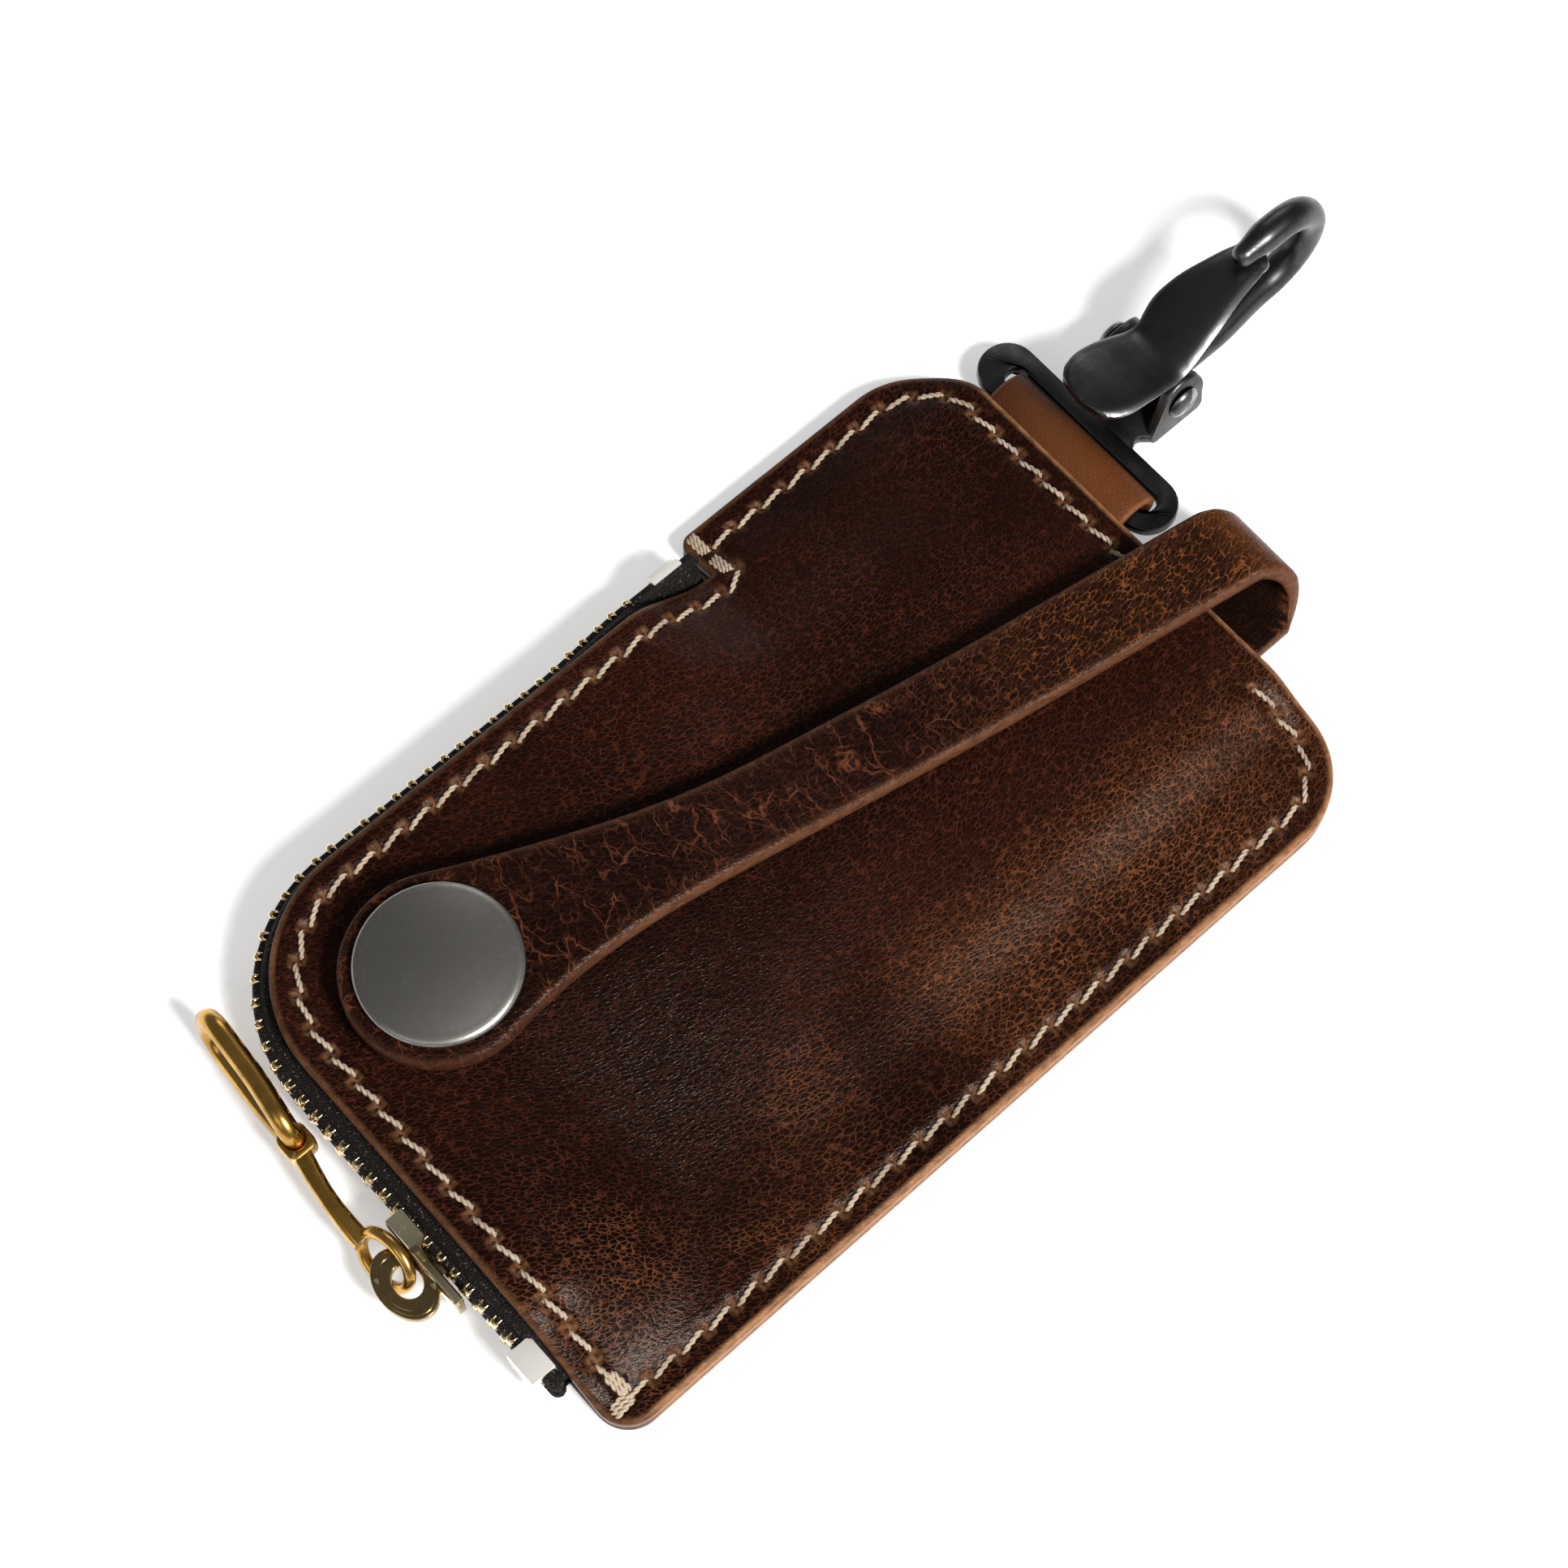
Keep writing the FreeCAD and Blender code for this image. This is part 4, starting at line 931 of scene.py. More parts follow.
@dataclass(frozen=True)
class Outline:
    """Plan of the panels: a rectangle with a step on the zipped side and rounded corners.

    Attributes:
        length: Length of the case.
        width: Width of the case.
        corner: Radius of the hook end's corners.
        zip_corner: Radius of the zipped corner.
        heel: Radius of the heel corner.
        zip_inset: How far the zipped side lies inside the width.
        step: Where the zipped side steps out.
        step_corner: Radius of the step's outer corner.
        least: Least radius of a corner.
        spacing: Distance between points.
    """

    length: float = 107.0
    width: float = 71.4
    corner: float = 10.5
    zip_corner: float = 16.0
    heel: float = 4.0
    zip_inset: float = 5.9
    step: float = 16.0
    step_corner: float = 1.6
    least: float = 0.1
    spacing: float = 0.42

    def corners(self, inset: float) -> list[Point]:
        """Corners of the outline with their radii, moved inwards.

        Args:
            inset: How far inwards.

        Returns:
            Anticlockwise corners from the heel.
        """
        right, high = self.length / 2 - inset, self.width / 2 - inset
        step, side = self.step + inset, self.width / 2 - self.zip_inset - inset
        return [
            (-right, -high, max(self.heel - inset, self.least)),
            (right, -high, self.corner - inset),
            (right, high, self.corner - inset),
            (step, high, max(self.step_corner - inset, self.least)),
            (step, side, self.least + inset),
            (-right, side, self.zip_corner - inset),
        ]

    def ring(self, inset: float) -> np.ndarray:
        """Points round the outline, as many at every inset.

        Args:
            inset: How far inwards.

        Returns:
            Plan points, anticlockwise.
        """
        full, moved = np.array(self.corners(0.0)), np.array(self.corners(inset))
        points = []
        count = len(full)
        for k, (x, y, radius) in enumerate(moved):
            after_k = (k + 1) % count
            point = np.array([x, y])
            before, after = moved[k - 1, :2] - point, moved[after_k, :2] - point
            before, after = before / np.linalg.norm(before), after / np.linalg.norm(after)
            middle = point + (before + after) * radius
            steps = max(3, int(full[k, 2] * math.pi / 2 / self.spacing))
            for turn in np.linspace(0, math.pi / 2, steps + 1):
                points.append(middle - after * radius * math.cos(turn) - before * radius * math.sin(turn))
            run = int(np.linalg.norm(full[after_k, :2] - full[k, :2]) / self.spacing)
            start, end = points[-1], moved[after_k, :2] - after * moved[after_k, 2]
            points.extend(start + (end - start) * share for share in np.arange(1, run) / run)
        return np.array(points)

    def walk(self, inset: float, pitch: float) -> list[tuple[np.ndarray, np.ndarray]]:
        """Evenly spaced places along the outline.

        Args:
            inset: How far inwards.
            pitch: Distance between places.

        Returns:
            Plan point and way along the outline for each place.
        """
        ring = self.ring(inset)
        closed = np.vstack([ring, ring[:1]])
        lengths = run_lengths(closed)
        count = int(lengths[-1] / pitch)
        places = []
        for k in range(count):
            at = [(k + 0.5 + d) * lengths[-1] / count for d in (-0.2, 0.0, 0.2)]
            before, here, after = columns(*(np.interp(at, lengths, closed[:, axis]) for axis in (0, 1)))
            way = after - before
            places.append((here, way / np.linalg.norm(way)))
        return places


def filled(ring: np.ndarray, grid: float) -> tuple[np.ndarray, list[Sequence[int]]]:
    """Triangles inside a plan loop, with points on a staggered grid.

    Args:
        ring: Anticlockwise plan points.
        grid: Distance between the inner points.

    Returns:
        Plan points, the loop's own first, and faces.
    """
    low, high = ring.min(axis=0), ring.max(axis=0)
    rows = np.arange(low[1] + grid / 2, high[1], grid * 0.87)
    points = []
    for number, y in enumerate(rows):
        shift = grid / 2 * (number % 2)
        points.extend((x, y) for x in np.arange(low[0] + grid / 2 + shift, high[0], grid))
    points = np.array(points)
    close = np.min(np.linalg.norm(points[:, None] - ring[None, ::2], axis=2), axis=1) < grid * 0.6
    spots = [Vector(p) for p in ring] + [Vector(p) for p in points[~close]]
    loop = [(k, (k + 1) % len(ring)) for k in range(len(ring))]
    verts, _, faces, _, _, _ = geometry.delaunay_2d_cdt(spots, loop, [list(range(len(ring)))], 1, 1e-5)
    return np.array([tuple(v) for v in verts]), faces


def ripple(points: np.ndarray, scale: float, seed: float) -> np.ndarray:
    """Smooth noise about zero over plan points, by the size of its ripples and its level."""
    return np.array([noise.noise(Vector((x / scale, y / scale, seed))) for x, y in points])


@dataclass
class CasePanels:
    """Front and back leather panels.

    Attributes:
        outline: Plan of both.
        leather: Thickness of the leather.
        seam_gap: Gap between the sewn panels.
        margin: Width of the flat seam.
        zip_rise: How far the front stands up at the zip.
        rise_across: Width over which it rises away from the zipped end.
        rise_along: Length over which it rises away from the zipped side.
        zip_rise_across: Width over which it rises at the zipped end.
        zip_rise_along: Length over which it rises at the zipped side.
        zip_band: Width of the band where the zip governs the rise.
        slot_rise: How far the strap and the tab hold the hook end open.
        slot_half: Half of the open width there.
        slot_middle: Middle of that width.
        slot_fade: Length over which the opening fades.
        zip_end: Where the rise of the zipped side starts to end.
        grid: Distance between inner points.
        stitch_inset: Distance of the seam from the edge.
        hole_reach: Radius of the dent round a needle hole.
        worn_side: Where the burnish of the zipped side starts to fade.
        worn_end: Where the burnish of the zipped end starts to fade.
        rim: Inset, level and burnish from the inner face round the edge to the outer face.
    """

    outline: Outline = field(default_factory=Outline)
    leather: float = 1.8
    seam_gap: float = 0.05
    margin: float = 4.0
    zip_rise: float = 7.3
    rise_across: float = 45.0
    rise_along: float = 75.0
    zip_rise_across: float = 14.5
    zip_rise_along: float = 45.0
    zip_band: float = 22.0
    slot_rise: float = 2.55
    slot_half: float = 30.5
    slot_middle: float = 3.5
    slot_fade: float = 70.0
    zip_end: float = 3.5
    grid: float = 0.85
    stitch_inset: float = 3.0
    hole_reach: float = 0.8
    worn_side: float = 24.0
    worn_end: float = -47.0
    rim: Sequence[Point] = (
        (0.6, 0.0, 1.0), (0.14, 0.06, 1.0), (0.0, 0.35, 1.0), (0.0, 0.9, 1.0), (0.02, 1.35, 1.0),
        (0.12, 1.6, 1.0), (0.34, 1.75, 0.9), (0.6, 1.82, 0.4), (0.85, 1.85, 0.0), (1.8, 1.84, 0.0),
        (2.35, 1.74, 0.0), (2.7, 1.58, 0.0), (3.0, 1.5, 0.0), (3.3, 1.58, 0.0), (3.6, 1.7, 0.0),
        (4.0, 1.79, 0.0), (4.7, 1.82, 0.0),
    )

    def inner(self, plan: np.ndarray) -> np.ndarray:
        """Height of the front panel's inner face.

        Args:
            plan: Plan points.

        Returns:
            One height for each point.
        """
        x, y = plan[:, 0], plan[:, 1]
        half_length, half_width = self.outline.length / 2, self.outline.width / 2
        across, along, side = y + half_width, half_length - x, half_width - y
        reach = self.slot_half - np.abs(y - self.slot_middle)
        at_hook = smooth(reach / self.margin / 2) * (1 - smooth((along - 2 * self.margin) / self.slot_fade))
        base = self.leather + self.seam_gap + self.slot_rise * at_hook
        by_end = smooth((self.zip_band - half_length - x) / (self.zip_band - self.margin))
        inside = y - half_width + self.outline.zip_inset + self.zip_band
        by_side = smooth(inside / (self.zip_band - 2 * self.margin))
        slow_across = smooth((across - self.margin) / self.rise_across)
        fast_across = smooth((across - self.margin / 2) / self.zip_rise_across)
        slow_along = smooth((along - self.margin) / self.rise_along)
        fast_along = smooth((along - self.margin) / self.zip_rise_along)
        lift = slow_across * (1 - by_end) + fast_across * by_end
        lift = lift * (slow_along * (1 - by_side) + fast_along * by_side)
        past_zip = smooth((x - self.zip_end) / (self.outline.step - self.zip_end))
        sewn = 1 - past_zip * (1 - smooth((side - self.margin) / self.zip_band))
        top = self.leather + self.seam_gap + self.zip_rise
        return base + (top - base) * lift * sewn

    def front(self, plan: np.ndarray, level: float) -> np.ndarray:
        """Height of the front panel at a level of its leather, softly uneven on its outer face."""
        uneven = 0.14 * ripple(plan, 13.0, 0.3) + 0.05 * ripple(plan, 4.0, 2.7)
        return self.inner(plan) + level + uneven * min(level, 1.0)

    def back(self, plan: np.ndarray, level: float) -> np.ndarray:
        """Height of the back panel at a level of its leather."""
        return np.full(len(plan), self.leather - min(level, self.leather))

    def hole_shade(self, plan: np.ndarray, holes: np.ndarray) -> np.ndarray:
        """Shade of plan points near the needle holes: 1 at a hole, 0 away from it."""
        apart = np.min(np.linalg.norm(plan[:, None] - holes[None], axis=2), axis=1)
        return np.clip(1 - apart / self.hole_reach, 0, 1)

    def skin(
        self, height: Callable[[np.ndarray, float], np.ndarray], holes: np.ndarray, dent: float
    ) -> Shape:
        """Closed panel from the rim's profile and a height function.

        Args:
            height: Gives the height of plan points at a level of the leather.
            holes: Plan points of the needle holes.
            dent: How far a needle hole dents the leather downwards.

        Returns:
            The panel's shape.
        """
        shape = Shape()
        rings, burnish, shade = [], [], []
        for inset, level, edge in self.rim:
            plan = self.outline.ring(inset)
            in_seam = abs(inset - self.stitch_inset) < 0.75
            near = self.hole_shade(plan, holes) if in_seam else np.zeros(len(plan))
            rings.append(columns(plan[:, 0], plan[:, 1], height(plan, level) - near * dent))
            by_zip = smooth((plan[:, 1] - self.worn_side) / 4), smooth((self.worn_end - plan[:, 0]) / 4)
            kept = 1 - 0.65 * np.maximum(*by_zip)
            # Round each needle hole the edge value gives a lighter tan ring, and close to the hole a painted
            # shade darkens it.
            burnish.append(np.maximum(edge * kept, 0.5 * np.sin(near * math.pi)))
            shade.append(np.where(near > 0.55, near, 0.0))
        shape.rings(rings, caps=False, edge=burnish, painted_shade=shade)
        for (inset, level, edge), grid in ((self.rim[0], 3.0), (self.rim[-1], self.grid)):
            plan, faces = filled(self.outline.ring(inset), grid)
            shape.add(columns(plan[:, 0], plan[:, 1], height(plan, level)), faces, edge)
        return shape

    def build(self, finish: Material, holes: np.ndarray, back_holes: np.ndarray) -> None:
        """Builds both panels.

        Args:
            finish: Leather material.
            holes: Needle holes of the front.
            back_holes: Needle holes of the back.
        """
        front = self.skin(self.front, holes, 0.35)
        finish_piece(front, "front_leather", finish, Body.CASE, Slot.CASE, ["front_panel"], 70)
        back = self.skin(self.back, back_holes, -0.2)
        finish_piece(back, "back_leather", finish, Body.CASE, Slot.CASE, ["back_panel"], 70)


@dataclass
class SeamThreads:
    """Slanted stitches of twisted thread round both panels, with a lock at each end of the zip.

    Attributes:
        panels: Panels that are sewn.
        pitch: Distance between stitches.
        length: Length of a stitch.
        dip: How far its ends dip into the leather.
        slant: Turn of a stitch across the seam, in degrees.
        ply: Radius of one ply.
        turns: Turns of the plies in one stitch.
        uneven: Random turn of a stitch in radians.
        slot_y: Middle of the gap where the strap goes in.
        slot_reach: Half of that gap.
        step_y: Above this, the front's stitches across the step are left out.
        lock_dip: How far the ends of a lock's threads dip.
        lock_gap: Distance between the threads of the lock at the step.
        lock_length: Length of those threads.
        heel_lock: Start and end of each thread of the heel's lock, from the heel corner.
    """

    panels: CasePanels
    pitch: float = 3.7
    length: float = 3.45
    dip: float = 0.75
    slant: float = 13.0
    ply: float = 0.215
    turns: float = 2.1
    uneven: float = 0.05
    slot_y: float = -9.6
    slot_reach: float = 9.5
    step_y: float = 24.0
    lock_dip: float = 0.6
    lock_gap: float = 0.42
    lock_length: float = 3.5
    heel_lock: Sequence[Sequence[float]] = (
        (2.6, 6.0, 3.0, 3.1), (3.05, 6.1, 3.45, 3.2), (3.5, 6.0, 3.9, 3.3),
        (3.7, 3.5, 0.7, 3.2), (3.8, 3.0, 0.6, 2.7), (3.7, 2.5, 0.8, 2.2),
    )

    def places(self, front: bool) -> list[tuple[np.ndarray, np.ndarray]]:
        """Middles and ways of the stitches.

        Args:
            front: Whether they are the front's, which leave the strap's slot and the step free.

        Returns:
            Plan point and way of each stitch.
        """
        outline = self.panels.outline
        angle = math.radians(self.slant if front else -self.slant)
        turn = np.array([[math.cos(angle), -math.sin(angle)], [math.sin(angle), math.cos(angle)]])
        kept = []
        for point, way in outline.walk(self.panels.stitch_inset, self.pitch):
            x, y = point
            in_slot = x > outline.length / 2 - 6 and abs(y - self.slot_y) < self.slot_reach
            at_step = abs(x - outline.step - 3) < 1.6 and abs(way[1]) > 0.5 and y > self.step_y
            if not (front and (in_slot or at_step)):
                kept.append((point, turn @ way))
        return kept

    def holes(self, front: bool) -> np.ndarray:
        """Needle holes at the ends of the stitches of one side, as plan points."""
        half = self.length / 2
        return np.array([p + w * half * s for p, w in self.places(front) for s in (-1, 1)])

    def stitch(self, length: float, dip: float) -> Shape:
        """One length of twisted thread along X that dips into the leather at its ends.

        Args:
            length: Length of the stitch.
            dip: How far its ends dip.

        Returns:
            Shape about the origin.
        """
        shape = Shape()
        share = np.linspace(-1, 1, 13)
        corners = np.arange(4) * 2 * math.pi / 4
        for phase in (0.0, math.pi):
            angle = share * math.pi * self.turns * length / self.length + phase
            sway, rise = 0.14 * np.cos(angle), 0.12 * np.sin(angle) - dip * np.abs(share) ** 5
            radii = self.ply * (1 - 0.3 * np.abs(share) ** 6)
            shape.rings([
                columns(x, y + radius * np.cos(corners), z + radius * np.sin(corners))
                for x, y, z, radius in zip(share * length / 2, sway, rise, radii)
            ])
        return shape

    def tack(self, ends: Sequence[Sequence[float]]) -> Shape:
        """Bundle of twisted threads that locks one end of the zip.

        Args:
            ends: Plan points where each thread starts and ends.

        Returns:
            Shape in place.
        """
        shape = Shape()
        for number, (x0, y0, x1, y1) in enumerate(ends):
            first, way = np.array([x0, y0]), np.array([x1 - x0, y1 - y0])
            length = float(np.linalg.norm(way))
            thread = self.stitch(length, self.lock_dip)
            points = np.array(thread.points)
            plan = first + way * (points[:, :1] / length + 0.5)
            plan = plan + np.outer(points[:, 1], [-way[1], way[0]]) / length
            level = self.panels.inner(plan) + self.panels.leather + 0.1 * (number % 3)
            shape.add(columns(plan[:, 0], plan[:, 1], level + points[:, 2]), thread.faces)
        return shape

    def locks(self) -> Shape:
        """Lock stitches at the heel and at the step.

        Returns:
            Shape in place.
        """
        outline = self.panels.outline
        left, low = -outline.length / 2, -outline.width / 2
        step, high = outline.step + 1.4, outline.width / 2
        ends = [(left + x0, low + y0, left + x1, low + y1) for x0, y0, x1, y1 in self.heel_lock]
        for top in (0.2, 3.9):
            for x in (step - self.lock_gap, step, step + self.lock_gap):
                ends.append((x, high - top, x, high - top - self.lock_length))
        return self.tack(ends)

    def build(self, repeat: Repeat, finish: Material) -> None:
        """Builds the front and back stitching.

        Args:
            repeat: Tree that sets the stitches.
            finish: Thread material.
        """
        unit = self.stitch(self.length, self.dip)
        places = []
        for point, way in self.places(True):
            heights = self.panels.inner(np.array([point - way, point, point + way])) + self.panels.leather
            slope = Vector((*way, (heights[2] - heights[0]) / 2))
            places.append(((*point, heights[1] - 0.02), slope.normalized(), Vector((0, 0, 1))))
        front = repeat.build("front_stitches", unit, places, finish, self.uneven, self.locks())
        settle(front, Body.CASE, Slot.THREAD, ["seam_thread_front"])
        places = [((*p, 0.32), Vector((*way, 0)), Vector((0, 0, -1))) for p, way in self.places(False)]
        back = repeat.build("back_stitches", unit, places, finish, self.uneven)
        settle(back, Body.CASE, Slot.THREAD, ["seam_thread_back"])


# Strap


@dataclass
class Strap:
    """Leather strap: a flap with a round head, a bend round the hook end, a tail and its tongue.

    Attributes:
        snap: Plan point of the snap.
        angle: Turn of the strap from the length of the case, in degrees.
        offset: Shift of the strap's middle from the snap.
        thickness: Thickness of the leather.
        width: Width of the strap.
        taper: Where the head has come down to that width.
        head: Radius of the head.
        leave: Angle at which the sides leave the head, in degrees.
        snap_low: Height of the underside at the snap.
        drop: Length over which the flap comes down.
        loop_x: Axis of the bend.
        loop_y: Where the strap's middle crosses that axis.
        loop_z: Height of that axis.
        loop_radius: Inner radius of the bend.
        drift: Shift along the axis as the strap goes round.
        tail_bend: Where the tail turns towards the ring.
        tail_end: Plan point where the tail ends.
        tongue: Where the tongue starts and where its eye is.
        tongue_z: Height of the tongue.
        tongue_eye: Radius of its eye.
        tongue_half: Half of its width and half of its thickness.
        profile: Inset, level and burnish from the underside round the edge to the top.
    """

    snap: tuple[float, float] = (-36.9, 11.4)
    angle: float = -9.9
    offset: float = -1.7
    thickness: float = 2.2
    width: float = 10.0
    taper: float = 40.0
    head: float = 10.6
    leave: float = 72.0
    snap_low: float = 12.75
    drop: float = 60.0
    loop_x: float = 58.9
    loop_y: float = -9.6
    loop_z: float = 6.25
    loop_radius: float = 2.0
    drift: float = -5.2
    tail_bend: float = 46.0
    tail_end: tuple[float, float] = (8.0, 2.0)
    tongue: tuple[float, float] = (9.4, -6.0)
    tongue_z: float = 3.95
    tongue_eye: float = 1.65
    tongue_half: tuple[float, float] = (2.75, 0.3)
    profile: Sequence[Point] = (
        (0.55, 0.0, 0.15), (0.14, 0.1, 1.0), (0.0, 0.5, 1.0), (0.0, 1.15, 1.0), (0.08, 1.6, 1.0),
        (0.24, 1.95, 0.9), (0.5, 2.12, 0.4), (0.9, 2.2, 0.08), (1.5, 2.2, 0.0), (2.2, 2.2, 0.0),
    )

    def __post_init__(self) -> None:
        """Works out the ways of the strap and its length."""
        turn = math.radians(self.angle)
        self.cos, self.sin = math.cos(turn), math.sin(turn)
        self.bend_run = math.pi * (self.loop_radius + self.thickness / 2)
        self.flap_run = (self.loop_x - self.snap[0] + self.offset * self.sin) / self.cos
        self.total = self.flap_run + (self.bend_run + self.loop_x - self.tail_end[0]) / self.cos

    def flat_outline(self) -> np.ndarray:
        """Outline of the strap laid flat: along it from the snap, and across it.

        Returns:
            Anticlockwise points.
        """
        leave = math.radians(self.leave)
        half = self.width / 2
        share = np.linspace(0, 1, 60)[:, None]
        sides = []
        for sign in (-1, 1):
            start = np.array([self.head * math.cos(leave), sign * self.head * math.sin(leave)])
            way = np.array([math.sin(leave), -sign * math.cos(leave)])
            end = np.array([self.taper, self.offset + sign * half])
            reach = np.linalg.norm(end - start) / 3
            first, second = start + way * reach, end - np.array([reach, 0])
            curve = (1 - share) ** 3 * start + 3 * share * (1 - share) ** 2 * first
            curve = curve + 3 * share ** 2 * (1 - share) * second + share ** 3 * end
            run = np.linspace(self.taper, self.total, int((self.total - self.taper) / 0.6))[1:]
            sides.append(np.vstack([curve, columns(run, self.offset + sign * half)]))
        end_cut = columns(self.total, np.linspace(-half, half, 18)[1:-1] + self.offset)
        angles = np.linspace(leave, 2 * math.pi - leave, 110)[1:-1]
        head = columns(self.head * np.cos(angles), self.head * np.sin(angles))
        return np.vstack([sides[0], end_cut, sides[1][::-1], head])

    def flap_low(self, along: np.ndarray) -> np.ndarray:
        """Height of the flap's underside at distances from the snap."""
        low = self.loop_z + self.loop_radius
        return self.snap_low - (self.snap_low - low) * smooth((along - self.head) / self.drop)

    def place(self, flat: np.ndarray, level: np.ndarray | float) -> np.ndarray:
        """Points of the worn strap from points of the flat one.

        Args:
            flat: Distances along and across.
            level: Height in the leather, 0 on the side towards the case.

        Returns:
            Points in the frame.
        """
        along, across = flat[:, 0], flat[:, 1]
        to_loop = self.loop_x - self.snap[0]
        line_end = (to_loop + across * self.sin) / self.cos
        on_flap = np.minimum(along, line_end)
        x = self.snap[0] + on_flap * self.cos - across * self.sin
        y = self.snap[1] + on_flap * self.sin + across * self.cos
        z = self.flap_low(on_flap) + level
        past = np.maximum(along - line_end, 0) * self.cos
        angle = np.minimum(past / self.bend_run, 1) * math.pi
        radius = self.loop_radius + level
        x = np.where(past > 0, self.loop_x + radius * np.sin(angle), x)
        z = np.where(past > 0, self.loop_z + radius * np.cos(angle), z)
        y = y + self.drift * angle / math.pi
        back = np.maximum(past - self.bend_run, 0)
        x = x - back
        middle = self.snap[1] + to_loop * self.sin / self.cos + self.offset / self.cos + self.drift
        inwards = np.clip((self.tail_bend - x) / (self.tail_bend - self.tail_end[0]), 0, 1)
        return columns(x, y + np.where(back > 0, (self.tail_end[1] - middle) * inwards, 0), z)

    def skin(self, flat: np.ndarray, level: float) -> np.ndarray:
        """Points of one level of the leather, with cross creases at the bend of its upper half.

        Args:
            flat: Distances along and across.
            level: Height in the leather.

        Returns:
            Points in the frame.
        """
        if level <= 1:
            return self.place(flat, level)
        squeezed = flat * np.array([1.0, 0.22])
        bend = np.exp(-((flat[:, 0] - self.flap_run - 3) / 15) ** 2)
        folds = -np.abs(ripple(squeezed, 2.6, 1.4))
        fine = ripple(squeezed, 1.5, 5.1)
        creases = 0.2 * bend * folds + 0.06 * bend * fine + 0.09 * ripple(flat, 9.0, 3.3)
        return self.place(flat, level + creases)

    def build(self, finish: Material) -> None:
        """Builds the strap as one piece, and the tongue inside the case.

        Args:
            finish: Strap leather.
        """
        outline = self.flat_outline()
        shape = Shape()
        rings, burnish = [], []
        for inset, level, edge in self.profile:
            flat = inset_loop(outline, inset)
            rings.append(self.skin(flat, level))
            burnish.append(edge * (0.35 + 0.65 * smooth((flat[:, 0] - 6) / 16)))
        shape.rings(rings, caps=False, edge=burnish)
        # The strap's underside turns towards the dark colour: painted shade under the strap, together with
        # the flesh side's darker tone.
        underside_shade = 1.1
        sheets = ((self.profile[0], 1.4, underside_shade), (self.profile[-1], 0.7, 0.0))
        for (inset, level, edge), grid, shade in sheets:
            flat, faces = filled(inset_loop(outline, inset), grid)
            shape.add(self.skin(flat, level), faces, edge, shade)
        finish_piece(self.ring_tongue(), "ring_tongue", finish, Body.CASE, Slot.STRAP, [], 70)
        nodes = ["strap_front", "strap_bend", "strap_tail"]
        made = finish_piece(shape, "strap_leather", finish, None, Slot.STRAP, nodes, 70)
        start, end = (
            (self.loop_x * MM, self.loop_y * MM, (self.loop_z + side * self.loop_radius) * MM)
            for side in (-1, 1)
        )
        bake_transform(made)
        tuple(start)
        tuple(end)

    def ring_tongue(self) -> Shape:
        """Folded tongue that holds the key ring.

        Returns:
            Shape in place.
        """
        z, (start, x), (half, thick) = self.tongue_z, self.tongue, self.tongue_half
        upper = columns(np.linspace(start, x + 3.4, 14), z + 0.42)
        lower = upper[::-1] * [1, -1] + [0, 2 * z]
        path = np.vstack([upper, arc((x, z), self.tongue_eye, 70, 290, 20), lower])
        corners = np.array([(-half, -thick), (half, -thick), (half, thick), (-half, thick)])
        shape = Shape()
        shape.rings([
            columns(px + out_x * corners[:, 1], self.tail_end[1] + corners[:, 0], pz + out_z * corners[:, 1])
            for (px, pz), (out_x, out_z) in zip(path, sideways(path))
        ], edge=0.5)
        return shape


# Zip


def resampled(loop: np.ndarray, count: int) -> np.ndarray:
    """Closed loop with its points spread evenly.

    Args:
        loop: Points of the loop.
        count: How many points it gets.

    Returns:
        Points of the new loop.
    """
    closed = np.vstack([loop, loop[:1]])
    lengths = run_lengths(closed)
    at = np.arange(count) / count * lengths[-1]
    return columns(*(np.interp(at, lengths, axis) for axis in closed.T))


def holed_plate(
    shape: Shape, outer: np.ndarray, inner: np.ndarray, low: float, high: float, bevel: float
) -> None:
    """Adds a flat plate with a hole and softened rims.

    Args:
        shape: Shape to add it to.
        outer: Plan points of its rim, anticlockwise.
        inner: Plan points of its hole, anticlockwise.
        low: Height of its underside.
        high: Height of its top.
        bevel: How far the rims are softened.
    """
    count = 96
    rim, hole = resampled(outer, count), resampled(inner, count)
    turn = np.argmin(np.linalg.norm(hole - rim[0] * 0.5 - hole.mean(axis=0) * 0.5, axis=1))
    hole = np.roll(hole, -turn, axis=0)
    slight = bevel * 0.3
    loops = [
        (inset_loop(rim, bevel), high), (inset_loop(rim, slight), high - slight), (rim, high - bevel),
        (rim, low + bevel), (inset_loop(rim, bevel), low), (inset_loop(hole, -bevel), low),
        (hole, low + bevel), (hole, high - bevel), (inset_loop(hole, -slight), high - slight),
        (inset_loop(hole, -bevel), high), (inset_loop(rim, bevel), high),
    ]
    shape.rings([columns(*loop.T, level) for loop, level in loops], caps=False)


